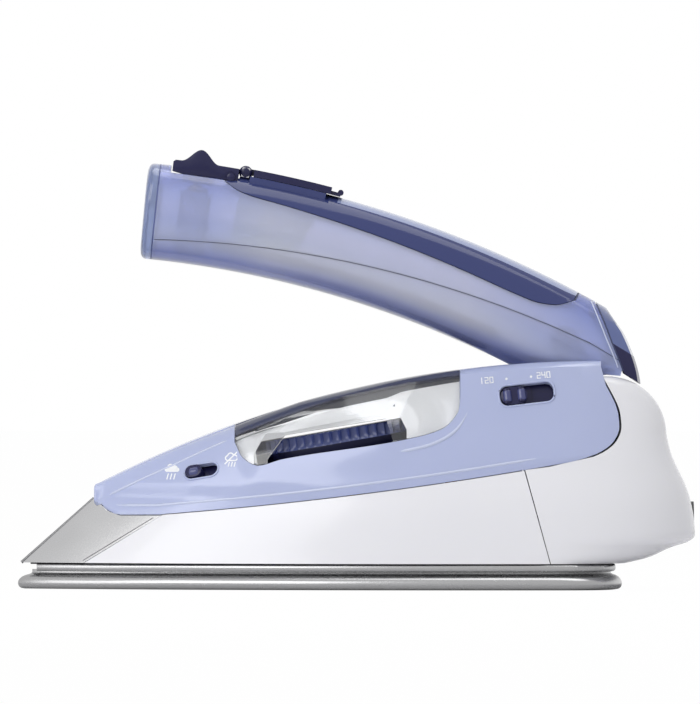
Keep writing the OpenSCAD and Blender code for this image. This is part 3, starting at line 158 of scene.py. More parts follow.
def cover_rear(q):
    return (hinge_x + flow(q, [[0, -12], [0.2, -4], [0.36, 1.5], [0.52, 3.3], [0.68, 2.9], [1, -2.4]]),
            hinge_z + flow(q, [[0, -8.6], [0.2, -6], [0.36, -2], [0.52, 2.5], [0.68, 7], [1, dome_r + 0.2]]))

seam_low, seam_top, tip_low = hinge_x - 18.5, hinge_x - 26.6, nose_x + 21
bow_r, bow_ahead, bow_below = 331.5, 180, 274
bow_x, bow_z = hinge_x - bow_ahead, hinge_z - bow_below
top_r, mid_r = bow_r + handle_d, bow_r + handle_d / 2
front_a = 5.45

def bow3(r, a, y=0.0):
    return (bow_x + r * math.sin(math.radians(a)), y, bow_z + r * math.cos(math.radians(a)))

def arc_deg(length, r):
    return math.degrees(length / r)

cap_a = front_a + arc_deg(3.5, mid_r)
hinge_r, hinge_a = math.hypot(bow_ahead, bow_below), math.degrees(math.atan2(bow_ahead, bow_below))
squareness = 2.7

def grip_half(r, inset=0.0):
    s = min(abs(r - mid_r) / (handle_d / 2 - inset), 1)
    return (handle_w / 2 - inset) * (1 - s ** squareness) ** (1 / squareness)

def grip_high(y, inset=0.0):
    s = min(abs(y) / (handle_w / 2 - inset), 1)
    return (handle_d / 2 - inset) * (1 - s ** squareness) ** (1 / squareness)

def seam_r(a):
    return bow_r + 6 + 0.49 * (a - front_a)

def round_end_a(r, gap):
    c = (r * r + hinge_r ** 2 - (dome_r + gap) ** 2) / (2 * r * hinge_r)
    return 90 if c >= 1 else hinge_a - math.degrees(math.acos(c))

def heel_seam_a(r):
    return flow(r - bow_r, [[0, 33.6], [12.8, 32.6], [22.5, 30.7], [29.7, 29.25], [handle_d, 29.1]])

def heel_back_a(r):
    return flow(r - bow_r, [[0, 34.6], [15.2, 33.2], [26, 31.1], [28.6, 30.2], [handle_d, 29.6]])

def end_a(r, back):
    return min(round_end_a(r, heel_gap), heel_seam_a(r) - back)

fold = math.radians(21)
bow_centre = (hinge_x + (bow_x - hinge_x) * math.cos(fold) - (bow_z - hinge_z) * math.sin(fold),
              hinge_z + (bow_x - hinge_x) * math.sin(fold) + (bow_z - hinge_z) * math.cos(fold))

def fold_z(x):
    return bow_centre[1] + math.sqrt((bow_r - 1.3) ** 2 - (x - bow_centre[0]) ** 2)

border = [[-31.2, 49], [-30.5, 47.2], [-28, 41.8], [-23.2, 39.2], [-15.2, 41.3], [22, 47.2], [34.7, 50.6],
          [40.4, 56.4], [41.2, 62]]

def border_z(x):
    return flow(x - win_x, border)

def ease(v):
    v = clamp(v)
    return v * v * (3 - 2 * v)

def swell(x, u):
    """How far the lip below the dial stands out, from 0 to 1."""
    d = x - win_x
    return ease((d + 31) / 11) * ease((27 - d) / 11) * ease((u - 1.1) / 1.8)

def ramp(x, a, b):
    return clamp((x - a) / (b - a))

def edge_z(x):
    return crest_z(x) - lerp(crown, 1.6, ramp(x, win_x - 50, win_x + 5))

N_TOP = 4

def top_part(x, t):
    """From the crest's edge over the lip and down the pocket to the middle."""
    k = ramp(x, win_x - 34, win_x - 10)
    ze = edge_z(x)
    ye = half_w(x, ze)
    lip = lerp(min(pocket_half, 0.6 * ye), pocket_half, ramp(x, 5, 25))
    deep = ramp(crest_z(x) - fold_z(x), 0, 2)
    te = min(t, (ye - lip) / 2.05)
    yi = lerp(half_w(x, ze, t), ye - te, deep)
    lip_y = min(lip + te * deep, lerp(0.87 * yi, 99, deep)) if t > 0 else lip
    edge_y = yi if t > 0 else ye
    crest_y = lerp(lip_y, edge_y, 0.5)
    zc = crest_z(x) - t
    p0 = (edge_y, ze - 0.8 * t)
    p1 = (crest_y, zc - (1 - k) * crown * 0.3)
    p2 = (lip_y, zc - 0.3 - (1 - k) * 0.5)
    p3 = (lip_y - 0.4, min(zc - (1 - k) * 0.4, fold_z(x) - t))
    p4 = (0.0, min(zc, fold_z(x) - t))
    out = []
    for i in range(2 * N_TOP + 1):
        s = i / N_TOP
        w = [(s - 1) * (s - 2) / 2, -s * (s - 2), s * (s - 1) / 2]
        out.append(tuple(w[0] * a + w[1] * b + w[2] * c for a, b, c in zip(p0, p1, p2)))
    out.append(p3)
    for i in range(1, 5):
        out.append((lerp(p3[0], p4[0], i / 4), lerp(p3[1], p4[1], i / 4)))
    return [(x, -y, z) for y, z in out]

# ---------------------------------------------------------------- meshes
def mirror_y(p):
    return (p[0], -p[1], p[2])

def both_sides(half):
    return half + [mirror_y(p) for p in reversed(half[:-1])]

def quads(rows, n, closed=False):
    """Faces between rings of n points each."""
    pairs = [(i * n, (i + 1) % rows * n) for i in range(rows if closed else rows - 1)]
    return [(a + k, a + (k + 1) % n, b + (k + 1) % n, b + k) for a, b in pairs for k in range(n)]

def ends(rows, n):
    return [tuple(reversed(range(n))), tuple((rows - 1) * n + k for k in range(n))]

def prism(n, o=0):
    """Faces of a closed form between two outlines of n points, the first of them at index o."""
    return ([tuple(o + k for k in range(n)), tuple(o + n + k for k in reversed(range(n)))]
            + [(o + k, o + n + k, o + n + (k + 1) % n, o + (k + 1) % n) for k in range(n)])

def new_object(name, verts, faces, mats=(), tags=None):
    """A welded object with its normals outwards, from points in millimetres. tags gives each face's material."""
    me = bpy.data.meshes.new(name)
    me.from_pydata([(p[0] / K, p[1] / K, p[2] / K) for p in verts], [], faces)
    for one in mats:
        me.materials.append(one)
    if tags:
        me.polygons.foreach_set("material_index", tags)
    bm = bmesh.new()
    bm.from_mesh(me)
    bmesh.ops.remove_doubles(bm, verts=bm.verts, dist=2e-6)
    bmesh.ops.dissolve_degenerate(bm, edges=bm.edges, dist=1e-6)
    bmesh.ops.recalc_face_normals(bm, faces=bm.faces)
    bm.to_mesh(me)
    bm.free()
    ob = bpy.data.objects.new(name, me)
    bpy.context.scene.collection.objects.link(ob)
    return ob

def soften(ob, width, sharp):
    b = ob.modifiers.new("edge", "BEVEL")
    b.width, b.segments, b.limit_method, b.angle_limit = width / K, 2, "ANGLE", math.radians(sharp)
    b.use_clamp_overlap = True
    return b

def add_mesh(name, verts, faces, body, slot, mats, sharp=32, bevel=0.0, replaces=(), tags=None):
    ob = new_object(name, verts, faces, mats if isinstance(mats, list) else [mats], tags)
    me = ob.data
    me.polygons.foreach_set("use_smooth", [True] * len(me.polygons))
    me.set_sharp_from_angle(angle=math.radians(sharp))
    if bevel:
        soften(ob, bevel, sharp).harden_normals = True
    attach(ob, body)
    if replaces:
        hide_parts(*replaces)
    return ob

def shell(name, outer, inner, is_open, body, slot, mat, nose=False, tag=None, **kw):
    """A moulded wall between two grids of points; a cell that is_open names is left out. tag gives the material of
    a cell's outer (0), inner (1) or rim (2) face."""
    m, n = len(outer) - 1, len(outer[0]) - 1
    size = (m + 1) * (n + 1)
    tag = tag or (lambda i, j, kind: 0)
    there = lambda i, j: 0 <= i < m and 0 <= j < n and not is_open(i, j)
    a = lambda i, j: i * (n + 1) + j
    b = lambda i, j: size + a(i, j)
    faces, tags = [], []

    def put(face, i, j, kind):
        faces.append(face)
        tags.append(tag(i, j, kind))

    for i in range(m):
        for j in range(n):
            if not there(i, j):
                continue
            put((a(i, j), a(i, j + 1), a(i + 1, j + 1), a(i + 1, j)), i, j, 0)
            put((b(i, j), b(i + 1, j), b(i + 1, j + 1), b(i, j + 1)), i, j, 1)
            rims = [((i - 1, j), (i, j + 1), (i, j)), ((i + 1, j), (i + 1, j), (i + 1, j + 1)),
                    ((i, j - 1), (i, j), (i + 1, j)), ((i, j + 1), (i + 1, j + 1), (i, j + 1))]
            for beside, p, q in rims:
                if not there(*beside) and not (nose and beside[0] < 0):
                    put((a(*p), a(*q), b(*q), b(*p)), i, j, 2)
    if nose:
        for j in range((n + 1) // 2):
            k = n - j
            if k - j > 1:
                put((a(0, j), a(0, j + 1), a(0, k - 1), a(0, k)), 0, j, 0)
                put((b(0, j), b(0, k), b(0, k - 1), b(0, j + 1)), 0, j, 1)
        put((a(0, n), a(0, 0), b(0, 0), b(0, n)), 0, 0, 2)
    verts = [p for r in outer for p in r] + [p for r in inner for p in r]
    return add_mesh(name, verts, faces, body, slot, mat, tags=tags, **kw)

def whole(i, j):
    """For a shell without an opening."""
    return False

def moulded(name, row, at, thick, is_open, *how, **kw):
    """A shell whose rows are a function of their place and of the depth below the surface."""
    return shell(name, [row(k, 0) for k in at], [row(k, thick) for k in at], is_open, *how, **kw)

def bead(name, path, radius, body, slot, mat, sides=10, closed=False):
    """A round bead along points, in millimetres. radius may be a function of the place along it, 0 to 1."""
    pts = [Vector(p) for p in path]
    n = len(pts)
    turns = [2 * math.pi * k / sides for k in range(sides)]
    verts = []
    for i, p in enumerate(pts):
        before, after = (i - 1, (i + 1) % n) if closed else (max(i - 1, 0), min(i + 1, n - 1))
        t = (pts[after] - pts[before]).normalized()
        side = t.cross(Vector((0, 0, 1)) if abs(t.z) < 0.9 else Vector((1, 0, 0))).normalized()
        up = side.cross(t)
        r = radius(i / (n - 1)) if callable(radius) else radius
        verts += [tuple(p + r * (math.cos(a) * side + math.sin(a) * up)) for a in turns]
    faces = quads(n, sides, closed) + ([] if closed else ends(n, sides))
    return add_mesh(name, verts, faces, body, slot, mat, sharp=60)

SIDES = ((1, "left"), (-1, "right"))

def two_beads(name, path, *how, **kw):
    """A bead on the left side and its mirror image on the right."""
    for side, tag in SIDES:
        bead(name + tag, [(p[0], side * p[1], p[2]) for p in path], *how, **kw)

def feed(tree, node, inputs):
    """Sets a node's inputs, each to a value or to the output socket that drives it."""
    for key, value in inputs.items():
        if isinstance(value, bpy.types.NodeSocket):
            tree.links.new(value, node.inputs[key])
        else:
            node.inputs[key].default_value = value

def maker(tree, family="ShaderNode"):
    """A function that adds a node to the tree and gives back one of its output sockets."""
    def new(kind, inputs=None, out=0, **settings):
        node = tree.nodes.new(family + kind)
        for key, value in settings.items():
            setattr(node, key, value)
        feed(tree, node, inputs or {})
        return node.outputs[out] if node.outputs else None
    return new

def smooth_group():
    """Shades a mesh smooth and keeps edges over 30 degrees crisp."""
    g = bpy.data.node_groups.new("smooth_by_angle", "GeometryNodeTree")
    for way in ("INPUT", "OUTPUT"):
        g.interface.new_socket("Geometry", in_out=way, socket_type="NodeSocketGeometry")
    new = maker(g, "")
    face = new("GeometryNodeSetShadeSmooth", {"Geometry": new("NodeGroupInput")})
    angle = new("GeometryNodeInputMeshEdgeAngle", out="Unsigned Angle")
    crisp = new("FunctionNodeCompare", {0: angle, 1: math.radians(30)}, data_type="FLOAT", operation="GREATER_THAN")
    edge = new("GeometryNodeSetShadeSmooth", {"Geometry": face, "Selection": crisp, "Shade Smooth": False},
               domain="EDGE")
    new("NodeGroupOutput", {0: edge})
    return g

SMOOTH = smooth_group()

def tuned(node, mat, bevel):
    """A CAD node keeps its shape and gets a finish and softened edges."""
    ob = NODES[node]
    ob.data.materials.clear()
    ob.data.materials.append(mat)
    ob.modifiers.new("weld", "WELD").merge_threshold = 1e-5
    if bevel:
        soften(ob, bevel, 30)
    ob.modifiers.new("smooth", "NODES").node_group = SMOOTH

# ---------------------------------------------------------------- materials
def banded(new, where, soft, bands):
    """The tint of the hollow handle with painted light and shade, by depth across the grip: 0 is its lower edge, 1 its
    crown; the bands paint pale highlights across the middle and shade at the edges.
    """
    from_bow = new("VectorMath", {0: where, 1: (bow_x / K, 0, bow_z / K)}, operation="SUBTRACT")
    in_plane = new("VectorMath", {0: from_bow, 1: (1, 0, 1)}, operation="MULTIPLY")
    reach = new("VectorMath", {0: in_plane}, "Value", operation="LENGTH")
    depth = new("MapRange", {"Value": reach, "From Min": bow_r / K, "From Max": top_r / K})
    drift = new("Math", {0: soft, 1: 0.12, 2: -0.06}, operation="MULTIPLY_ADD")
    ramp = new("ValToRGB", {"Fac": new("Math", {0: depth, 1: drift}, operation="ADD")})
    stops = ramp.node.color_ramp
    stops.interpolation = "B_SPLINE"
    while len(stops.elements) < len(bands):
        stops.elements.new(0.5)
    for stop, (place, colour) in zip(stops.elements, bands):
        stop.position, stop.color = place, (*colour, 1)
    # It is also darker towards the hinge and at the front.
    x = new("SeparateXYZ", {0: where})
    hinge = new("MapRange", {"Value": x, "From Min": 0.035, "From Max": 0.085})
    front = new("MapRange", {"Value": x, "From Min": -0.028, "From Max": -0.046, "To Max": 0.55})
    both = new("Math", {0: hinge, 1: front}, operation="ADD")
    tone = new("Mix", {"A": (1, 1, 1, 1), "B": (0.66, 0.73, 0.94, 1), "Factor": both}, "Result", data_type="RGBA")
    return new("VectorMath", {0: ramp, 1: tone}, operation="MULTIPLY")

def material(name, colour, rough=0.3, metal=0.0, trans=0.0, coat=0.0, sss=0.0, mottle=(30, 0.05), grain=(900, 0.02),
             rough_var=0.06, stretch=(1, 1, 1), tint=None, spec=0.5):
    """colour is one colour, or a list of bands of painted light and shade. mottle and grain are a noise's scale and
    strength.
    """
    m = bpy.data.materials.new(name)
    m.use_nodes = True
    t = m.node_tree
    new = maker(t)
    where = new("TexCoord", out="Object")
    stretched = new("Mapping", {"Vector": where, "Scale": stretch})
    soft = new("TexNoise", {"Vector": stretched, "Scale": mottle[0], "Detail": 3})
    fine = new("TexNoise", {"Vector": stretched, "Scale": grain[0], "Detail": 4})
    if isinstance(colour, list):
        base = banded(new, where, soft, colour)
    else:
        other = tint or tuple(v * (1 - mottle[1] * 2) for v in colour)
        base = new("Mix", {"A": (*colour, 1), "B": (*other, 1), "Factor": soft}, "Result", data_type="RGBA")
    shine = new("MapRange", {"Value": fine, "To Min": max(rough - rough_var, 0.01), "To Max": rough + rough_var})
    feed(t, t.nodes["Principled BSDF"], {
        "Base Color": base, "Metallic": metal, "Transmission Weight": trans, "IOR": 1.46, "Specular IOR Level": spec,
        "Roughness": shine, "Normal": new("Bump", {"Strength": 0.4, "Distance": grain[1] / K, "Height": fine}),
        "Coat Weight": coat, "Coat Roughness": 0.06, "Subsurface Weight": sss,
        "Subsurface Radius": (0.004, 0.004, 0.006)})
    return m

GLOSS = {"mottle": (18, 0.03), "grain": (700, 0.01)}
DARK = {"mottle": (60, 0.1), "grain": (1800, 0.02)}
MILK = {"mottle": (25, 0.04), "rough": 0.35}
M_SOLE = material("sole_metal", (0.38, 0.38, 0.385), 0.26, 1, mottle=(60, 0.03), grain=(700, 0.006), rough_var=0.05,
                  stretch=(0.3, 1, 1))
M_TIP = material("tip_metal", (0.62, 0.62, 0.63), 0.26, 1, mottle=(20, 0.2), grain=(1600, 0.02), rough_var=0.05)
M_CAST = material("cast_metal", (0.42, 0.42, 0.41), 0.5, 1, mottle=(120, 0.1), grain=(900, 0.08))
M_STEEL = material("steel_plated", (0.52, 0.52, 0.54), 0.28, 1)
M_BRASS = material("brass_bright", (0.70, 0.50, 0.20), 0.25, 1)
M_RED = material("red_silicone", (0.55, 0.05, 0.03), 0.5)
M_SEAL = material("black_rubber", (0.012, 0.012, 0.015), 0.6, grain=(2500, 0.03))
M_WHITE = material("white_gloss", (0.83, 0.83, 0.86), 0.24, coat=0.25, sss=0.05, tint=(0.80, 0.80, 0.845),
                   mottle=(14, 0.02))
M_COVER = material("cover_blue", (0.45, 0.50, 0.72), 0.2, coat=0.35, sss=0.2, tint=(0.41, 0.46, 0.69),
                   mottle=(18, 0.03))
# The handle's colour bands are painted light and shade: pale painted highlights across the middle of the grip and
# darker painted shade at its lower edge and crown.
M_HANDLE = material("handle_tint_and_painted_shade", [
    (0.0, (0.18, 0.22, 0.52)), (0.08, (0.38, 0.43, 0.76)), (0.22, (0.86, 0.88, 1.0)), (0.34, (0.82, 0.85, 1.0)),
    (0.46, (0.78, 0.81, 0.99)), (0.6, (0.80, 0.82, 1.0)), (0.74, (0.72, 0.76, 0.98)), (0.88, (0.54, 0.59, 0.89)),
    (1.0, (0.32, 0.37, 0.72))], 0.15, trans=0.66, coat=0.3, grain=(700, 0.012))
M_STRIP = material("strip_tint", (0.045, 0.06, 0.20), 0.08, trans=0.12, coat=0.12, spec=0.3, mottle=(18, 0.05),
                   grain=(700, 0.01))
M_DOME_LIT = material("strip_dome_tint_and_highlight", (0.36, 0.42, 0.68), 0.12, trans=0.15, coat=0.5, **GLOSS)
M_CLEAR = material("clear_window", (0.97, 0.975, 0.985), 0.03, trans=1.0, tint=(0.96, 0.97, 0.985), rough_var=0.015,
                   grain=(500, 0.006))
# The window's roof band is painted dark: painted shade over the top of the clear window.
M_ROOF_SHADE = material("window_roof_painted_shade", (0.085, 0.095, 0.16), 0.08, trans=0.3, tint=(0.12, 0.13, 0.20), grain=(500, 0.008))
# This pale finish is used for the white moulding behind the window and, on the rim faces of the opening, as a painted
# highlight.
M_PALE_AND_HIGHLIGHT = material("window_frost_and_painted_highlight", (0.97, 0.975, 0.98), 0.18, coat=0.6, grain=(900, 0.01))
M_HEEL = material("heel_tint", (0.16, 0.21, 0.48), 0.12, trans=0.35, coat=0.3, mottle=(18, 0.04), grain=(700, 0.01))
M_CAP = material("cap_tint", (0.30, 0.37, 0.62), 0.1, trans=0.6, coat=0.3, **GLOSS)
# Two dark finishes for painted shadow in the handle's joints.
M_DEEP_SHADOW = material("joint_deep_shadow", (0.12, 0.15, 0.36), 0.4)
M_JOINT_SHADOW = material("joint_shadow", (0.03, 0.04, 0.11), 0.5)
M_RIB = material("dial_rib", (0.035, 0.05, 0.17), 0.3, coat=0.2, **DARK)
M_KNOB_HIGHLIGHT = material("knob_navy_painted_highlight", (0.05, 0.06, 0.2), 0.22, coat=0.4, **DARK)
# A lighter, glossier blue than the cover: a painted highlight on its raised lines.
M_RIDGE_HIGHLIGHT = material("cover_ridge", (0.56, 0.61, 0.80), 0.12, coat=0.6, **GLOSS)
# Darker metals for painted shade on the tip's crease and nose edge.
M_EDGE_SHADE = material("tip_edge_shade", (0.17, 0.17, 0.175), 0.3, 1)
M_CREASE_SHADE = material("tip_crease", (0.16, 0.16, 0.17), 0.4, 1)
M_DIAL_SHADE = material("dial_navy_painted_shade", (0.006, 0.007, 0.030), 0.35, spec=0.15, **DARK)
M_NAVY = material("navy_gloss", (0.018, 0.018, 0.070), 0.24, spec=0.3, coat=0.05, mottle=(30, 0.08), grain=(1800, 0.02))
M_BLACK = material("black_satin", (0.014, 0.014, 0.016), 0.45, grain=(2200, 0.03))
M_MILKY = material("milky_plastic", (0.80, 0.86, 0.80), sss=0.3, **MILK)
M_WELL = material("well_milky", (0.94, 1.0, 0.80), sss=0.3, **MILK)
M_PUMP = material("pump_milky", (0.42, 0.48, 0.66), **MILK)
M_HOSE = material("hose_silicone", (0.62, 0.63, 0.58), 0.4, sss=0.2)
M_LAMP = material("lamp_amber", (0.80, 0.22, 0.06), 0.15, trans=0.5)
M_PRINT = material("white_print", (0.92, 0.93, 0.96), 0.4, grain=(3000, 0.01))
SLOT_MATS = {"sole_metal": M_SOLE, "tip_metal": M_TIP, "cast_aluminium": M_CAST, "steel": M_STEEL, "brass": M_BRASS,
             "red_silicone": M_RED, "black_seal": M_SEAL, "white_plastic": M_WHITE, "blue_cover": M_COVER,
             "blue_clear": M_HANDLE, "clear_plastic": M_CLEAR, "navy_plastic": M_NAVY, "black_plastic": M_BLACK,
             "hose": M_HOSE, "milky_plastic": M_MILKY, "lamp": M_LAMP}
SEEN_THROUGH = {"filler_well": M_WELL, "pump_barrel": M_PUMP}
THIN = ("needle_spring", "pump_spring", "button_spring", "wiring")
slot_of = {p["node"]: p["material_slot"] for p in frame["record"]["subparts"]}
for node in NODES:
    tuned(node, SEEN_THROUGH.get(node, SLOT_MATS[slot_of[node]]), 0.0 if node in THIN else 0.15)
# Where a piece belongs: its body, its material slot and its finish.
COVER = ("iron", "blue_cover", M_COVER)
LIT_RIDGE = ("iron", "blue_cover", M_RIDGE_HIGHLIGHT)
WHITE = ("iron", "white_plastic", M_WHITE)
GRIP = ("handle", "blue_clear", M_HANDLE)
JOINT_SHADOW = ("handle", "navy_plastic", M_JOINT_SHADOW)

# ---------------------------------------------------------------- body cover
cover_x0 = nose_tip_x + 1.4
win_x0, win_x1 = win_x - 30.5, win_x + 41
N_LOW, N_UP = 9, 6
BEVEL_H, BEVEL_IN = 2.9, 0.55

# Column places up the side: 0 the hem, 3 the window's border, 6 the crest's edge.
COLS = ([0, 0.5, 1.0] + [lerp(1.0, 3.0, k / N_LOW) for k in range(1, N_LOW + 1)]
        + [lerp(3, 6, k / N_UP) for k in range(1, N_UP)])
COL_BORDER = COLS.index(3.0)

def side_z(u, z0, zt, ze):
    c = min(BEVEL_H, 0.3 * (zt - z0))
    if u <= 1:
        return z0 + c * u
    if u <= 3:
        return lerp(z0 + c, zt, (u - 1) / 2)
    return lerp(zt, ze, (u - 3) / 3)

def tuck(u):
    return BEVEL_IN * (1 - u) if u < 1 else 0.0

def cover_half(x, t):
    z0 = hem_z(x)
    ze = edge_z(x) - 0.8 * t
    zt = min(max(border_z(x), z0 + 1), ze - 2)
    side = []
    for u in COLS:
        k = swell(x, u) if u <= 3.5 else 0
        inset = tuck(u) - 1.15 * k if t == 0 else lerp(t, -0.35, k)
        side.append(on_wall(x, side_z(u, z0, zt, ze), inset))
    return side + top_part(x, t)

def rear_half(f, t):
    start = cover_half(win_x1, t)
    side = []
    for c, u in enumerate(COLS):
        q = look(u, [[0, 0], [1, 0.2], [3, 0.52], [6, 1.0]])
        ex, ez = cover_rear(q)
        x = lerp(win_x1, ex, f)
        z = hem_z(x) if c == 0 else lerp(start[c][2], ez, f)
        side.append(on_wall(x, z, t + (tuck(u) if t == 0 else 0)))
    xe, xf = lerp(win_x1, hinge_x - 2.4, f), lerp(win_x1, hinge_x - 18.4, f)
    wide, deep = top_part(xe, t), top_part(xf, t)
    return side + wide[:2 * N_TOP + 1] + deep[2 * N_TOP + 1:]

def stations(a, b, step, keys=()):
    """Places about a step apart, with the keys among them in place of their near neighbours."""
    n = max(2, round((b - a) / step))
    xs = sorted({round(lerp(a, b, i / n), 4) for i in range(n + 1)})
    for k in keys:
        xs = [x for x in xs if abs(x - k) > 0.3 * step or x in (a, b)] + [k]
    return sorted(xs)

ROUND = 4

def bull(rows, depth, keep):
    """Rounds the cover's front end: rows that shrink towards the middle of the first one."""
    first = rows[0]
    mid = (min(p[2] for p in first) + max(p[2] for p in first)) / 2
    out = []
    for k in range(ROUND):
        a = math.pi / 2 * k / ROUND
        grow, back = lerp(keep, 1, math.sin(a)), depth * math.cos(a)
        out.append([(p[0] - back, p[1] * grow, mid + (p[2] - mid) * grow) for p in first])
    return out + rows

REAR_N = 18
inner_shift = [[0, 4.18], [2.5, 3.48], [5.5, 2.79], [9, 2.09], [14, 1.39], [21, 0.7], [29, 0]]
nose_st = stations(cover_x0, win_x0, 1.8)
row_keys = [win_x + d for d in (-28, -23.2, -15.6, -13, 15.6, 18.2, 34.7, 38.5, 40.4)]
mid_st = stations(win_x0, win_x1, 1.8, row_keys)[1:-1]

def cover_rows(t):
    nose = [cover_half(x + (look(x - cover_x0, inner_shift) if t else 0), t) for x in nose_st]
    rear = [rear_half(k / REAR_N, t) for k in range(REAR_N + 1)]
    return [both_sides(half) for half in nose + [cover_half(x, t) for x in mid_st] + rear]

outer, inner = bull(cover_rows(0), 1.3, 0.6), bull(cover_rows(wall), 0.6, 0.8)
rn, rm, rc = len(nose_st) + ROUND - 1, len(nose_st) + ROUND + len(mid_st), len(outer[0]) - 1
cover = shell("body_cover", outer, inner, lambda i, j: rn <= i < rm and COL_BORDER <= j < rc - COL_BORDER,
              *COVER, nose=True, replaces=("top_cover",), sharp=24)

# ---------------------------------------------------------------- dial window
open_low = [[-20, -4.7], [19.6, 1.3]]
open_high = [[-14.4, 2.9], [17.6, 8.2]]
# Places along the window, from win_x, at each whole station: win_low on its lower line, win_high on its upper one.
win_low = [-30.3, -27.9, -23.2, -20, -15.2, -7, 0.4, 7.8, 13.5, 19.6, 27, 34.7, 38.5, 40.4, 40.8]

def win_high(k):
    if k <= 3:
        return lerp(-30.3, -14.4, k / 3)
    return lerp(-14.4, 17.6, (k - 3) / 6) if k <= 9 else lerp(17.6, 40.8, (k - 9) / 5)

def win_levels(k):
    """The two heights at a whole station: the lower and upper lines of the opening, and their likes beside it."""
    xl, xu = win_x + win_low[k], win_x + win_high(k)
    if 3 <= k <= 9:
        return win_z + look(win_low[k], open_low), win_z + look(win_high(k), open_high)
    zb = min(border_z(xl) + fit, edge_z(xu) - 1.6)
    return lerp(zb, edge_z(xl), 0.25), lerp(zb, edge_z(xu), 0.7)

def win_half(k, t):
    k0 = min(int(k), 13)
    f = k - k0
    xl, xu = win_x + between(win_low, k), win_x + win_high(k)
    (a1, a2), (b1, b2) = win_levels(k0), win_levels(k0 + 1)
    ze = edge_z(xu)
    zb = min(border_z(xl) + fit, ze - 1.6)
    z1, z2 = max(lerp(a1, b1, f), zb + 0.3), min(lerp(a2, b2, f), ze - 0.8 * t - 0.6)
    side = [(xl, zb), (xl, lerp(zb, z1, 0.5)), (xl, z1)]
    side += [(lerp(xl, xu, q), lerp(z1, z2, q)) for q in (0.25, 0.5, 0.75, 1)]
    side += [(xu, lerp(z2, ze - 0.8 * t, q)) for q in (0.2, 0.4, 0.6, 0.8)]
    return [on_wall(x, z, t) for x, z in side] + top_part(xu, t)

WIN_SUB = 5
win_ks = [k / WIN_SUB for k in range(14 * WIN_SUB + 1)]
w_out = [both_sides(win_half(k, 0)) for k in win_ks]
w_in = [both_sides(win_half(k, 1.1)) for k in win_ks]
wn = len(w_out[0]) - 1
W_OPEN, W_ROOF = 6, 11

def win_tag(i, j, kind):
    """0 is clear, 1 the roof, painted dark as painted shade, 2 the rim of the opening, painted pale as a painted
    highlight.
    """
    j = min(j, wn - 1 - j)
    if kind == 2:
        return 2 if 3 * WIN_SUB - 1 <= i <= 9 * WIN_SUB and j <= W_OPEN else 0
    return 1 if j >= W_ROOF else 0

shell("dial_window_clear", w_out, w_in,
      lambda i, j: 3 * WIN_SUB <= i < 9 * WIN_SUB and (j < W_OPEN or j >= wn - W_OPEN),
      "iron", "clear_plastic", [M_CLEAR, M_ROOF_SHADE, M_PALE_AND_HIGHLIGHT], replaces=("dial_window",), sharp=28, tag=win_tag)

def liner_half(k, t):
    """The pale moulding behind the clear window, with a raised step round the dial's recess."""
    side = []
    slope = math.tan(math.radians(dial_tilt))
    recess_long, recess_tall, rise, step_h = 17.5, 8, 2, 0.7
    for x, y, z in win_half(k, t)[:W_ROOF]:
        away = math.hypot((x - dial_x) / recess_long, (z - dial_z - (x - dial_x) * slope - rise) / recess_tall)
        ring = math.exp(-((away - 1.35) / 0.16) ** 2) - 0.7 * math.exp(-((away - 1.75) / 0.2) ** 2)
        side.append((x, y - step_h * ring, z))
    return side

l_out = [liner_half(k, 2.6) for k in win_ks]
l_in = [[(x, y + 0.8, z) for x, y, z in row] for row in l_out]
for side, tag in SIDES:
    rows = [[row if side > 0 else [mirror_y(p) for p in reversed(row)] for row in grid] for grid in (l_out, l_in)]
    shell("window_liner_" + tag, *rows,
          lambda i, j: 2 * WIN_SUB - 1 <= i < 10 * WIN_SUB - 2 and (j if side > 0 else 9 - j) <= W_OPEN,
          "iron", "white_plastic", M_PALE_AND_HIGHLIGHT, sharp=60)

# ---------------------------------------------------------------- slots, rims, ridges and prints on the cover

def slot_frame(x, z, slope):
    yaw = math.atan((half_w(x + 3, z) - half_w(x - 3, z)) / 6)
    lean = math.atan((half_w(x, z - 3) - half_w(x, z + 3)) / 6)
    return (Matrix.Translation((x, -half_w(x, z), z)) @ Matrix.Rotation(-yaw, 4, "Z") @ Matrix.Rotation(-lean, 4, "X")
            @ Matrix.Rotation(-math.radians(slope), 4, "Y"))

def stadium(long, tall):
    r, c = tall / 2, (long - tall) / 2
    out = [(c + r * math.sin(math.pi * k / 12), -r * math.cos(math.pi * k / 12)) for k in range(13)]
    return out + [(-p[0], -p[1]) for p in out]

def rounded(long, tall, r):
    out = []
    for sx, sz, a0 in ((1, -1, -90), (1, 1, 0), (-1, 1, 90), (-1, -1, 180)):
        for k in range(7):
            a = math.radians(a0 + 90 * k / 6)
            out.append((sx * (long / 2 - r) + r * math.cos(a), sz * (tall / 2 - r) + r * math.sin(a)))
    return out

def disc(x, z, r, n=20):
    return [(x + r * math.cos(2 * math.pi * k / n), z + r * math.sin(2 * math.pi * k / n)) for k in range(n)]

def cut(ob, places, outline, deep=5, sharp=24):
    """Cuts the outline through a piece at each place."""
    n = len(outline)
    verts = [place @ Vector((x, y, z)) for place in places for y in (-deep, deep) for x, z in outline]
    tool = new_object("cutter", verts, [face for o in range(0, len(verts), 2 * n) for face in prism(n, o)])
    m = ob.modifiers.new("cut", "BOOLEAN")
    m.object, m.operation, m.solver = tool, "DIFFERENCE", "EXACT"
    left_over = bpy.data.meshes.new_from_object(ob.evaluated_get(bpy.context.evaluated_depsgraph_get()))
    ob.modifiers.remove(m)
    old, ob.data = ob.data, left_over
    left_over.set_sharp_from_angle(angle=math.radians(sharp))
    bpy.data.objects.remove(tool)
    bpy.data.meshes.remove(old)

def placed(place, pts):
    return [tuple(place @ Vector(p)) for p in pts]

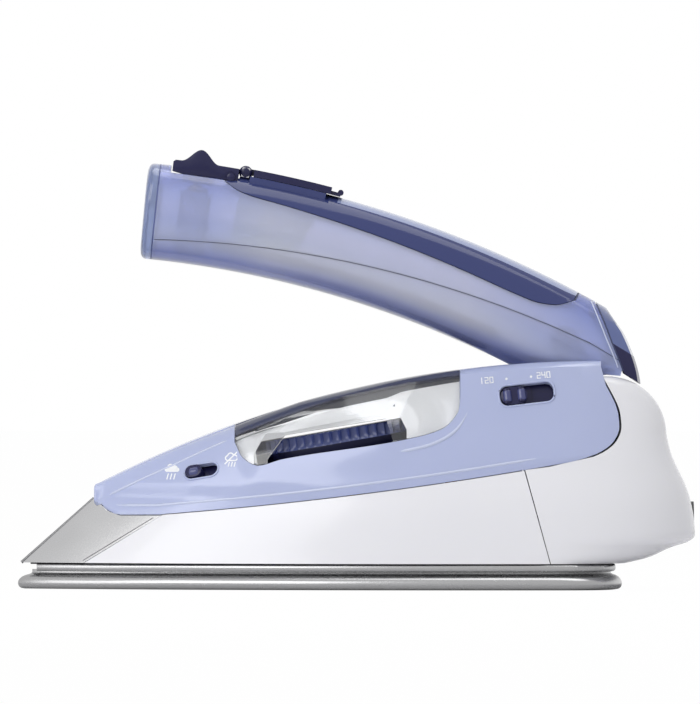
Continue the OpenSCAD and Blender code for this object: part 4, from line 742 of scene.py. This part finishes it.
def domed(r, steep, least):
    """A bead's radius that rounds off at both ends."""
    return lambda t: r * min(1, (steep * t + least) ** 0.5, (steep * (1 - t) + least) ** 0.5)

def faded(r, start, end):
    """A bead's radius that thins out at both ends."""
    return lambda t: r * min(1, start * t, end * (1 - t)) + 0.02

# Each slot's place on the left wall and its slope in degrees.
volt_x, volt_z, volt_slope = hinge_x - 26, crest_h - 10.3, 7
steam_x, steam_z, steam_slope = nose_x + 58.5, 37.6, 10
volt_place, steam_place = slot_frame(volt_x, volt_z, volt_slope), slot_frame(steam_x, steam_z, steam_slope)
cut(cover, [volt_place], rounded(17, 6.4, 2.4))
cut(cover, [steam_place], stadium(11, 4.8))
for name, place, rim, size, sunk in (("voltage", volt_place, rounded(17.8, 7.2, 2.8), (19, 8.4), 3.4),
                                     ("steam", steam_place, stadium(11.5, 5.3), (13, 6.6), 3.2)):
    bead(name + "_slot_rim", placed(place, [(x, 0.05, z) for x, z in rim]), 0.34, *COVER, sides=8, closed=True)
    pts = rounded(*size, 2)
    verts = placed(place, [(x, sunk + y, z) for y in (0, 0.4) for x, z in pts])
    add_mesh(name + "_slot_floor", verts, prism(len(pts)), "iron", "navy_plastic", M_NAVY, sharp=40)

# The knobs' ridges and crown are a lighter navy than the knobs: a painted highlight.
for k, x in enumerate((-6.1, -1.6)):
    line = [(x, 0.35 + 0.5 * (z / 2) ** 4 * 0.2, z) for z in (-2.1 + 0.3 * q for q in range(15))]
    bead("voltage_knob_ridge_%d" % (k + 1), placed(volt_place, line), domed(1.35, 8, 0.05),
         "voltage_knob", "navy_plastic", M_KNOB_HIGHLIGHT, sides=14)
line = [(-4.4 + 0.3 * q, 0.5, 0) for q in range(14)]
bead("steam_knob_crown", placed(steam_place, line), domed(1.75, 5, 0.02),
     "steam_knob", "navy_plastic", M_KNOB_HIGHLIGHT, sides=18)

# Raised lines: a lip round the window and down the block, one above the hem, one along the nose's crest. Their lighter,
# glossier blue is a painted highlight.
lip = [(-27.5, border_z(win_x - 28.8) - 0.5), (-26.5, border_z(win_x - 27.5) - 2.2),
       (-24.6, border_z(win_x - 25.6) - 3.0)]
lip += [(d, border_z(win_x + d) - 3.6) for d in (-22, -17, -10, 0, 10, 18, 25, 31)]
lip += [(35.5, 47.6), (39.5, 50.4), (42.5, 54.6), (44.3, 59.5), (45, 64), (45.2, 68.5)]
lip = [(win_x + d, z) for d, z in lip]
lip_line = [on_wall(x, flow(x, lip), 0.22) for x in stations(lip[0][0], lip[-1][0], 0.6)]
hem_line = [on_wall(x, hem_z(x) + BEVEL_H, 0.28) for x in stations(cover_x0 + 3, win_x1 + 30, 1.0)]
top_line = [on_wall(x, edge_z(x) - 0.6, 0.25) for x in stations(cover_x0 + 2.5, win_x0 - 1, 0.8)]
two_beads("cover_ridge_", lip_line, faded(0.62, 12, 12), *LIT_RIDGE, sides=10)
two_beads("cover_hem_ridge_", hem_line, faded(0.5, 20, 12), *LIT_RIDGE, sides=8)
two_beads("cover_nose_ridge_", top_line, faded(0.45, 15, 15), *LIT_RIDGE, sides=8)

LINE = 0.42

def decal(name, rings):
    """Thin raised white marks: each outline in x, z lies on the left wall."""
    verts, faces = [], []
    for pts in rings:
        faces += prism(len(pts), len(verts))
        verts += [on_wall(x, z, inset) for inset in (-0.05, 0.3) for x, z in pts]
    add_mesh(name, verts, faces, "iron", "white_plastic", M_PRINT, sharp=40)

def stroke(x0, z0, x1, z1, w=LINE):
    d = math.hypot(x1 - x0, z1 - z0)
    nx, nz = -(z1 - z0) / d * w / 2, (x1 - x0) / d * w / 2
    return [(x0 - nx, z0 - nz), (x1 - nx, z1 - nz), (x1 + nx, z1 + nz), (x0 + nx, z0 + nz)]

def arc(x, z, r, a0, a1):
    at = [math.radians(lerp(a0, a1, k / 10)) for k in range(11)]
    rims = ((r + LINE / 2, at), (r - LINE / 2, at[::-1]))
    return [(x + q * math.cos(a), z + q * math.sin(a)) for q, turns in rims for a in turns]

def digits(word, x, z):
    """Plain figures from strokes on a 3 by 5 grid."""
    forms = {"0": "abcdef", "1": "m", "2": "abged", "4": "fgbc"}
    h, slope = 1.75, math.radians(5)
    w, t = 0.55 * h, 0.17 * h
    place = {"a": (0, h, w, h), "b": (w, h / 2, w, h), "c": (w, 0, w, h / 2), "d": (0, 0, w, 0), "e": (0, 0, 0, h / 2),
             "f": (0, h / 2, 0, h), "g": (0, h / 2, w, h / 2), "m": (w / 2, 0, w / 2, h)}
    ca, sa = math.cos(slope), math.sin(slope)
    out = []
    for k, ch in enumerate(word):
        for key in forms[ch]:
            x0, z0, x1, z1 = place[key]
            d = math.hypot(x1 - x0, z1 - z0)
            ex, ez = (x1 - x0) / d * t / 2, (z1 - z0) / d * t / 2
            pts = [(px + k * w * 1.6, pz) for px, pz in stroke(x0 - ex, z0 - ez, x1 + ex, z1 + ez, t)]
            out.append([(x + px * ca - pz * sa, z + px * sa + pz * ca) for px, pz in pts])
    return out

# Steam: a cloud over three slanted strokes. Dry: the same cloud in outline, struck through.
x, z = steam_x - 9.4, 38.0
decal("print_steam", [disc(x - 1.5, z, 0.85), disc(x - 0.4, z + 0.65, 1.1), disc(x + 0.9, z + 0.35, 0.95),
                      disc(x + 1.7, z - 0.1, 0.7), [(x - 1.6, z - 0.8), (x + 1.7, z - 0.8), (x + 1.7, z), (x - 1.6, z)]]
      + [stroke(x - 1.6 + 1.1 * k, z - 3.2, x - 1.1 + 1.1 * k, z - 1.3, 0.38) for k in range(3)])
x, z = steam_x + 9.6, 41.6
decal("print_dry", [arc(x - 1.2, z, 0.75, 90, 270), arc(x - 0.3, z + 0.65, 0.95, 20, 170),
                    arc(x + 1.0, z + 0.1, 0.85, -90, 95), stroke(x - 1.3, z - 0.75, x + 1.1, z - 0.75),
                    stroke(x - 2.2, z - 1.9, x + 2.0, z + 2.2)]
      + [stroke(x - 1.1 + 0.95 * k, z - 2.7, x - 0.7 + 0.95 * k, z - 1.2, 0.36) for k in range(3)])
decal("print_low_volts", digits("120", volt_x - 14.6, 65.2) + [disc(volt_x - 6.4, 66.7, 0.4)])
decal("print_high_volts", [disc(volt_x + 1.4, 67.4, 0.4)] + digits("240", volt_x + 3.4, 66.9))

# ---------------------------------------------------------------- skirt, tip, rear housing
behind = wall + seam
TIP_SUB = 4

def tip_side(s, t, inset, gap=seam):
    """On the nose's side: s runs back from the middle, t up from the sole to a gap below the cover."""
    shift, top_x = 1.3 * inset * (1 - s), lerp(nose_tip_x, hem_x0, s)
    x = lerp(lerp(front_x(skirt_z), tip_low, s), top_x, t)
    return on_wall(x + shift, lerp(skirt_z, look(top_x + shift, notch) - gap, t), inset)

def sided(side, pts):
    """The points on the left for a positive side, on the right for a negative one, in the middle for 0."""
    return [(p[0], -math.copysign(abs(p[1]), side) if side else 0.0, p[2]) for p in pts]

def tip_row(k, inset):
    return sided(k, [tip_side((abs(k) / 7) ** 1.4, j / 10, inset) for j in range(11)])

def sole_half(x, inset):
    tip, back = nose_x + 1.3 * inset, heel_x - inset
    u, v = clamp((x - tip) / 150), max((x - back + 24) / 24, 0)
    return (sole_w / 2 - inset) * (1 - (1 - u) ** 2.2) ** 0.9 * max(1 - v ** 4, 0) ** 0.4

def sole_ring(inset, z, front):
    """A level ring round the sole. front is where it is cut off square at the nose, or None."""
    tip, back, n = nose_x + 1.3 * inset, heel_x - inset, 90
    tip = max(tip, front) if front else tip
    xs = [lerp(tip, back, (1 - math.cos(math.pi * i / n)) / 2) for i in range(n + 1)]
    side = [(x, -sole_half(x, inset) if 0 < i < n or front else 0.0, z) for i, x in enumerate(xs)]
    side[-1] = (back, 0.0, z)
    return side + [mirror_y(p) for p in reversed(side[(0 if front else 1):-1])]

def stacked(name, profile, front=None, **kw):
    """A form of level rings, each given by its inset and its height."""
    rings = [sole_ring(inset, z, front) for inset, z in profile]
    rows, n = len(rings), len(rings[0])
    return add_mesh(name, [p for r in rings for p in r], quads(rows, n) + ends(rows, n), "iron", "sole_metal", M_SOLE,
                    sharp=50, **kw)

flange = stacked("soleplate_flange", [(1.7, 0.0), (0.9, 0.15), (0.4, 0.5), (0.1, 1.1), (0, 1.8), (0.1, 2.5),
                                      (0.45, 3.2), (1.0, 3.8), (1.8, 4.3), (2.7, 4.6), (3.3, 4.9), (3.5, 5.3),
                                      (3.5, 6.2)], replaces=("soleplate",))
step = stacked("soleplate_step", [(3.2, 5.6), (2.5, 5.75), (2.1, 6.05), (2.0, 6.5), (2.0, sole_t - 0.3), (2.3, sole_t)],
               front=nose_x + 6)
holes, hole_r, hole_pitch, row_n = [], 1.3, 10, 12
for row in (0, 1):
    for side in (-1, 1):
        for x in (nose_x + 22 + 7 * row + i * hole_pitch for i in range(row_n)):
            y = side * (sole_half(x, 0) - 9 - 6 * row)
            holes.append(Matrix.Translation((x, y, 1)) @ Matrix.Rotation(math.radians(90), 4, "X"))
for ob in (flange, step):
    cut(ob, holes, disc(0, 0, hole_r, 16), deep=9, sharp=50)
    for f in ob.data.polygons:
        f.use_smooth = abs(f.normal.z) < 0.9999

tip_at = [k / TIP_SUB for k in range(-7 * TIP_SUB, 7 * TIP_SUB + 1)]
moulded("precision_tip_metal", tip_row, tip_at, wall, whole, "iron", "tip_metal", M_TIP,
        replaces=("precision_tip",), sharp=40, bevel=0.2)
# Darker metal lines: painted shade along the tip's rear crease and along its nose edge.
two_beads("tip_crease_", [tip_side(0.93, t / 20, 0.03) for t in range(1, 20)], 0.16,
          "iron", "tip_metal", M_CREASE_SHADE, sides=6)
bead("tip_nose_edge", tip_row(0, 0.1), 0.5, "iron", "tip_metal", M_EDGE_SHADE, sides=12)

def skirt_point(n, t, inset):
    """Stations 0 to 5 lie behind the tip, 6 to 15 along the open side."""
    if n <= 5:
        return tip_side((n / 5) ** 1.4, t, inset + behind, 2 * seam)
    s = (n - 6) / 9
    top_x = lerp(hem_x0 + seam, seam_top - seam, s)
    x = lerp(lerp(tip_low + seam, seam_low - seam, s), top_x, t)
    return on_wall(x, lerp(skirt_z, hem_z(top_x) - seam, t), inset + (behind if n == 6 and inset > 0 else 0))

def skirt_row(n, inset):
    return sided(n, [skirt_point(abs(n), j / 14, inset) for j in range(15)])

skirt_at = [n / 2 for n in range(11)] + [6 + 9 * i / 54 for i in range(55)]
skirt_at = [-n for n in reversed(skirt_at[1:])] + skirt_at
moulded("skirt_white", skirt_row, skirt_at, wall, whole, *WHITE, replaces=("skirt",), sharp=30)

rear_corner_z = hem_z(seam_top)
arm_slot = 7.0
CC = 20  # points round each rear corner

def housing_edge_x(z):
    if z < rear_corner_z:
        return lerp(seam_low, seam_top, (z - skirt_z) / (rear_corner_z - skirt_z))
    pts = [[rear_corner_z, seam_top]] + [[cover_rear(q / 25)[1], cover_rear(q / 25)[0] + 0.7] for q in range(26)]
    return look(z + seam, sorted(pts))

def housing_row(z, back, inset):
    x0, f = housing_edge_x(z), flat_w(z) - inset / 2
    corner = []
    for k in range(CC + 1):
        x = lerp(x0, back, math.sin(math.pi / 2 * k / CC))
        corner.append((x, -f if k == CC else -max(half_w(min(x, back - 0.01), z, inset), f + 0.2 * (1 - k / CC)), z))
    return both_sides(corner + [(back, -arm_slot, z), (back, -arm_slot / 2, z), (back, 0.0, z)])

def dome_row(a, inset):
    r, f = dome_r - inset, dome_half - inset / 2
    x, z = hinge_x + r * math.cos(math.radians(a)), hinge_z + r * math.sin(math.radians(a))
    corner = [(x, -f - (CC - k) * 0.04, z) for k in range(CC + 1)]
    return both_sides(corner + [(x, -arm_slot, z), (x, -arm_slot / 2, z), (x, 0.0, z)])

def up_row(a, inset):
    r = dome_r - inset
    z = hinge_z + r * math.sin(math.radians(a))
    back = waist_x(z) - inset if a < 0 else hinge_x + r * math.cos(math.radians(a)) + (0.6 if a > 85 else 0)
    return housing_row(z, back, inset)

levels = stations(skirt_z, 17, 0.7) + stations(17, rear_corner_z - 0.05, 1.6)[1:] + [rear_corner_z + 1]
ups = stations(-22, 90, 4.0)
overs = [95] + stations(95, 168, 5)[1:]

def housing_rows(t):
    return ([housing_row(z, waist_x(z) - t, t) for z in levels] + [up_row(a, t) for a in ups]
            + [dome_row(a, t) for a in overs])

h_out, h_in = housing_rows(0), housing_rows(wall)
over_i, hn = len(levels) + len(ups) - 1, len(h_out[0]) - 1
shell("rear_housing_white", h_out, h_in,
      lambda i, j: (i >= over_i and (j < CC or j >= hn - CC)) or (i >= over_i + 1 and CC + 1 <= j < hn - CC - 1),
      *WHITE, replaces=("rear_housing",), sharp=30)

# ---------------------------------------------------------------- handle
trigger_a = front_a + 1.2
trigger_end_a = trigger_a + arc_deg(21, top_r)
lid_a = trigger_end_a + 0.1
lid_end_a = lid_a + arc_deg(33, top_r)
strip_a0, strip_a1 = 9.3, 28.2
handle_wall = 2.0
# Angles round the bow's centre at which the handle's mouldings have a row, from the cap to the heel.
shell_as = [cap_a + 0.03, trigger_a - 0.08, 7.5, 8.4, strip_a0, trigger_end_a + 0.08, 11.2, 13.5, 16, 18.5, 21, 23,
            24.6, 26.2, 27.4, strip_a1, 28.5, 29.2, 33.0]
LAST = len(shell_as) - 1

def stop_at(i, r):
    lim = end_a(r, seam / 6) - 0.12 * (LAST - i) * (1 if i > LAST - 4 else 0)
    return lim if i == LAST else min(shell_as[i], lim)

def stop_a(i, r):
    i0 = min(int(i), LAST - 1)
    return lerp(stop_at(i0, r), stop_at(i0 + 1, r), i - i0)

def as_at(i):
    return min(between(shell_as, i), 30)

def crown_point(i, y, t, way=1):
    """On the grip's crown, or on its underside with way -1."""
    return bow3(mid_r + way * grip_high(y, t), stop_a(i, mid_r + way * grip_high(y, 0)), -y)

def lower_half(i, t):
    rs, base = seam_r(as_at(i)) - fit / 2, bow_r + 2.4
    side = []
    for k in range(9):
        r = lerp(rs, base, k / 8)
        rr = r + t * 0.5 * (k / 8) ** 4
        side.append(bow3(rr, stop_a(i, r), -grip_half(rr, t)))
    y0 = grip_half(base + t * 0.5, t)
    ys = [y0 * math.cos(math.pi / 2 * k / 10) for k in range(1, 10)] + [0.0]
    return both_sides(side + [crown_point(i, y, t, -1) for y in ys])

SUB = 4
handle_at = [k / SUB for k in range(LAST * SUB + 1)]
moulded("handle_lower_tint_and_painted_shade", lower_half, handle_at, handle_wall, whole, *GRIP,
        replaces=("handle_lower_shell",), sharp=34)

def strip_drop(a):
    return flow(a, [[strip_a0, 2.6], [10.2, 5.2], [11.2, 6.2], [22.5, 9.4], [24.6, 9.6], [26.2, 9.2], [27.4, 7.0],
                    [strip_a1, 2.6]])

even_top = 10.5

def upper_half(i, t):
    a = as_at(i)
    rs = seam_r(a) + fit / 2
    rb = top_r - strip_drop(min(max(a, strip_a0), strip_a1)) - (fit if strip_a0 < a < strip_a1 else 0)
    re = min(rb, mid_r + grip_high(even_top + 0.15, t)) if t > 0 else rb
    side = []
    for k in range(10):
        r = lerp(rs, re, k / 9)
        side.append(bow3(r, stop_a(i, r), -grip_half(r, t)))
    y0 = grip_half(re, t)
    ys = [lerp(y0, even_top, k / 5) for k in range(1, 6)] + [lerp(even_top, 0, k / 5) for k in range(1, 6)]
    return both_sides(side + [crown_point(i, y, t) for y in ys])

un = len(upper_half(0, 0)) - 1
moulded("handle_upper_tint_and_painted_shade", upper_half, handle_at, handle_wall,
        lambda i, j: (4 * SUB <= i < 15 * SUB and 9 <= j < un - 9) or (SUB <= i < 5 * SUB and 14 <= j < un - 14),
        *GRIP, replaces=("handle_upper_shell",), sharp=34)

strip_as = [trigger_end_a + 0.08, lid_a + 1.2, 11.8, 13.2, lid_end_a - 1.6, 15.5, 17, 19, 21, 23, 24.6, 26.2, 27.4,
            strip_a1 - 0.1]
mouth = 6.5

def strip_half(i, t):
    a = between(strip_as, i)
    first = lerp(strip_a0 + 0.1, strip_as[1], i) if i < 1 else a
    rb = top_r - strip_drop(first) + fit
    re = min(rb, mid_r + grip_high(even_top - 0.5, t)) if t > 0 else rb
    yb = grip_half(re, t)
    out = [bow3(re, first, -yb)]
    for k in range(1, 5):
        y = min(lerp(yb, mouth + 1.5, k / 4), yb - 0.05 * k)
        out.append(bow3(mid_r + grip_high(y, t), lerp(first, a, k / 4), -y))
    for y in (mouth, mouth * 0.66, mouth / 3, 0):
        yy = min(y, yb - 0.25)
        out.append(bow3(mid_r + grip_high(yy, t), a, -yy))
    return both_sides(out)

sn = len(strip_half(0, 0)) - 1
# The rear crown's outer faces take a paler blue: partly the top cover's own lighter tint, partly a painted highlight.
moulded("handle_strip_gloss", strip_half, [k / 5 for k in range((len(strip_as) - 1) * 5 + 1)], handle_wall,
        lambda i, j: 5 <= i < 20 and 5 <= j < sn - 5, "handle", "blue_clear", [M_STRIP, M_DOME_LIT],
        replaces=("handle_top_strip",), sharp=34,
        tag=lambda i, j, kind: 1 if kind == 0 and i >= 24 and 3 <= j < sn - 3 else 0)
# A dark bead of painted shadow closes the strip's rear end.
a = strip_a1 - 0.03
y0 = grip_half(top_r - strip_drop(a)) - 0.4
bead("strip_joint_rear", [bow3(mid_r + grip_high(y) - 0.35, a, y) for y in (y0 * k / 12 for k in range(-12, 13))],
     0.32, *JOINT_SHADOW, sides=6)

strap_low, strap_high, button_w = bow_r + 15.4, top_r - 0.06, 13.0
strap_f = [0, 0.18, 0.37, 0.55, 0.72, 0.85, 0.93, 0.975, 1, 1.001, 1.002]
strap_back = [1] * 9 + [0.55, 0.12]
strap_y = [1] * 9 + [0.66, 0.33]

def strap_half(i, t):
    f, back = between(strap_f, i), between(strap_back, i)
    ro, r = lerp(strap_low, strap_high, f), lerp(strap_low, strap_high - (t + 0.3 if t > 0 else 0), f)
    y = grip_half(min(r, strap_high), t) * between(strap_y, i)
    in_y = min(button_w / 2 + 0.3, 0.75 * y)
    s0 = heel_seam_a(r) + 0.04
    a = s0 + max(heel_back_a(ro) - arc_deg(t, r) * 0.95 - s0, 0.08) * back
    e = 0.1 * back
    key = [(s0, y), (max(a - e, s0 + 0.05 * back), max(y - 0.3, 0.9 * y)), (a + e, in_y), (a + 1.2 * e, in_y / 2),
           (a + 1.3 * e, 0)]
    return both_sides([bow3(r, aa, -yy) for aa, yy in key])

bn = len(strap_half(0, 0)) - 1
moulded("heel_cover_tinted", strap_half, [k / 4 for k in range(41)], handle_wall,
        lambda i, j: i < 8 and 2 <= j < bn - 2, "handle", "blue_clear", [M_HEEL, M_NAVY],
        replaces=("heel_cover",), sharp=34, tag=lambda i, j, kind: 1 if i < 9 else 0)
# The dark heel seam line is painted shadow; the lighter line beside it is a painted highlight.
for name, shift, sink, r, mat in (("heel_seam_", 0.0, 0.2, 0.3, M_JOINT_SHADOW),
                                  ("heel_seam_highlight_", -0.32, 0.1, 0.24, M_RIDGE_HIGHLIGHT)):
    path = [bow3(q, heel_seam_a(q) + shift, sink - grip_half(min(q, strap_high)))
            for q in stations(strap_low + 0.5, strap_high - 0.7, 0.4)]
    two_beads(name, path, r, "handle", "blue_clear", mat, sides=8)

CAP_N = 96

def cap_ring(a, inset):
    out = []
    for k in range(CAP_N):
        c, s = math.cos(2 * math.pi * k / CAP_N), math.sin(2 * math.pi * k / CAP_N)
        out.append(bow3(mid_r + (handle_d / 2 - inset) * math.copysign(abs(s) ** (2 / squareness), s), a,
                        (handle_w / 2 - inset) * math.copysign(abs(c) ** (2 / squareness), c)))
    return out

cap_rows = [(front_a - 0.04, 2.6), (front_a - 0.01, 1.6), (front_a + 0.03, 0.95), (front_a + 0.09, 0.45),
            (front_a + 0.18, 0.12), (front_a + 0.3, 0), (cap_a - 0.03, 0), (cap_a - 0.03, handle_wall + 0.7),
            (cap_a + 0.25, handle_wall + 0.8)]
add_mesh("handle_front_cap", [p for a, inset in cap_rows for p in cap_ring(a, inset)],
         quads(len(cap_rows), CAP_N) + ends(len(cap_rows), CAP_N), "handle", "blue_clear", M_CAP,
         replaces=("handle_end_cap",), sharp=34)

for name, node, body, out, pitch, count, steep, r, sides in (
        ("lid_hinge_cover_", "lid_pin", "handle", 0.1, 0.55, 5, 4, 2.15, 24),
        ("trigger_pin_cover_", "trigger_pin", "trigger", 0.35, 0.25, 4, 3, 1.3, 20)):
    lo, hi = low(node), high(node)
    path = [((lo.x + hi.x) / 2, -(hi.y + out - q * pitch), (lo.z + hi.z) / 2) for q in range(count)]
    two_beads(name, path, lambda t: r * min(1, steep * t + 0.6), body, "navy_plastic", M_NAVY, sides=sides)

ledge_r = mid_r + grip_high(9.2) - 0.3
ledge = [(ledge_r, 9.1), (top_r + 0.08, 9.1), (top_r + 0.08, 9.85), (ledge_r - 0.4, 9.85)]
ledge_at = stations(lid_a + 0.5, lid_end_a - 0.8, 0.3)
for side, tag in SIDES:
    add_mesh("lid_ledge_" + tag, [bow3(r, a, -side * y) for a in ledge_at for r, y in ledge],
             quads(len(ledge_at), 4) + ends(len(ledge_at), 4), "handle", "blue_clear", M_STRIP, bevel=0.1)

# Painted shadow: dark lines in the joints between the handle's mouldings, set just inside the surface.
bead("cap_joint", cap_ring(cap_a - 0.01, 0.28), 0.26, "handle", "navy_plastic", M_DEEP_SHADOW, sides=6, closed=True)
shell_line, strip_line = [], []
for a in stations(cap_a + 0.1, 31.5, 0.25):
    r = seam_r(min(a, 30))
    shell_line.append(bow3(r, min(a, end_a(r, 0.2)), 0.45 - grip_half(r)))
for a in stations(strip_a0 + 0.05, strip_a1, 0.2):
    r = top_r - strip_drop(a)
    strip_line.append(bow3(r, a, 0.5 - grip_half(r)))
two_beads("handle_joint_", shell_line, 0.3, *JOINT_SHADOW, sides=6)
two_beads("strip_joint_", strip_line, 0.32, *JOINT_SHADOW, sides=6)

# ---------------------------------------------------------------- thermostat dial
N_RIB, RIB_STEPS = 62, 10
dial_n = N_RIB * RIB_STEPS

def dial_ring(h, r, depth):
    """A ring at height h across the dial's axis, with grooves of the given depth between its ribs."""
    tilt = math.radians(-dial_tilt)
    out = []
    for k in range(dial_n):
        rr = r - depth * max(0.0, math.sin(math.pi * ((k % RIB_STEPS) / RIB_STEPS))) ** 0.7
        x, y = rr * math.cos(2 * math.pi * k / dial_n), rr * math.sin(2 * math.pi * k / dial_n)
        out.append((dial_x + x * math.cos(tilt) + h * math.sin(tilt), y,
                    dial_z - x * math.sin(tilt) + h * math.cos(tilt)))
    return out

dial_rows = [(-4.05, 26.0, 0), (-4.05, 27.9, 0), (-3.8, 28.5, 0), (-3.2, 28.85, 0), (-0.6, 28.88, 0), (-0.2, 28.8, 0),
             (0.1, 28.75, 0.25), (0.6, 28.75, 0.8), (1.4, 28.75, 1.1), (2.8, 28.75, 1.15), (3.5, 28.75, 1.1),
             (3.8, 28.75, 0.9), (3.95, 27.6, 0), (4.05, 26.5, 0), (3.9, 18.0, 0), (3.9, 0.02, 0)]
# The dial's smooth band and faces are painted near black as painted shade; its ribbed band keeps the dial's navy.
add_mesh("dial_grip", [p for row in dial_rows for p in dial_ring(*row)],
         quads(len(dial_rows), dial_n) + ends(len(dial_rows), dial_n)[:1], "dial", "navy_plastic", [M_DIAL_SHADE, M_RIB],
         replaces=("thermostat_dial",), sharp=40,
         tags=[1 if 5 <= i < 12 else 0 for i in range(len(dial_rows) - 1) for k in range(dial_n)] + [0])

# ---------------------------------------------------------------- camera, lights, floor
# A far camera on the left side, as in the photograph; VIEW_H is the height it takes in, in metres.
cam_data = bpy.data.cameras.new("camera")
cam = bpy.data.objects.new("camera", cam_data)
bpy.context.scene.collection.objects.link(cam)
bpy.context.scene.camera = cam
VIEW_D, VIEW_H = 5.0, 0.2239
aim = Vector((-0.0019, 0, 0.0752))
cam.location = Vector((aim.x, -VIEW_D, 0.078))
cam.rotation_euler = (aim - cam.location).to_track_quat("-Z", "Y").to_euler()
cam_data.sensor_width = 36
cam_data.lens = 36 * (aim - cam.location).length / VIEW_H
cam_data.clip_start, cam_data.clip_end = 0.1, 20

world = bpy.data.worlds.new("studio")
bpy.context.scene.world = world
world.use_nodes = True
new = maker(world.node_tree)
rays = new("LightPath").node.outputs
bright = new("Math", {0: rays["Is Glossy Ray"], 1: rays["Is Transmission Ray"]}, operation="MAXIMUM")
bright = new("Math", {0: rays["Is Camera Ray"], 1: bright}, operation="MAXIMUM")
level = new("MapRange", {"Value": bright, "To Min": 0.5})
feed(world.node_tree, world.node_tree.nodes["Background"], {"Strength": level, "Color": (1, 1, 1, 1)})

def area(name, place, target, size, power):
    d = bpy.data.lights.new(name, "AREA")
    d.shape, d.size, d.size_y, d.energy = "RECTANGLE", size[0], size[1], power
    o = bpy.data.objects.new(name, d)
    bpy.context.scene.collection.objects.link(o)
    o.location = place
    o.rotation_euler = (Vector(target) - Vector(place)).to_track_quat("-Z", "Y").to_euler()

area("key", (-0.44, -0.6, 0.5), (-0.03, 0, 0.04), (0.5, 0.5), 2.35)
area("top", (0.1, 0.1, 1.0), (0, 0, 0.05), (0.9, 0.5), 3.4)
area("side", (-0.9, -0.5, 0.3), (0, 0, 0.06), (0.4, 0.5), 1.2)

floor_me = bpy.data.meshes.new("floor")
reach, floor_z = 9, -0.0001  # just clear of the sole's level face
corners = [(-reach, -reach, floor_z), (reach, -reach, floor_z), (reach, reach, floor_z), (-reach, reach, floor_z)]
floor_me.from_pydata(corners, [], [(0, 1, 2, 3)])
floor = bpy.data.objects.new("floor", floor_me)
bpy.context.scene.collection.objects.link(floor)
floor_pale = bpy.data.materials.new("floor_pale")
floor_pale.use_nodes = True
tree = floor_pale.node_tree
new = maker(tree)
lit = tree.nodes["Principled BSDF"]
feed(tree, lit, {"Base Color": (0.85, 0.85, 0.86, 1), "Roughness": 0.6})
share = new("MapRange", {"Value": new("LightPath", out="Is Camera Ray"), "To Max": 0.985})
surface = new("MixShader", {"Fac": share, 1: lit.outputs[0], 2: new("Emission", {"Strength": 1.0})})
feed(tree, tree.nodes["Material Output"], {"Surface": surface})
floor_me.materials.append(floor_pale)

bpy.context.scene.view_settings.view_transform = "Standard"
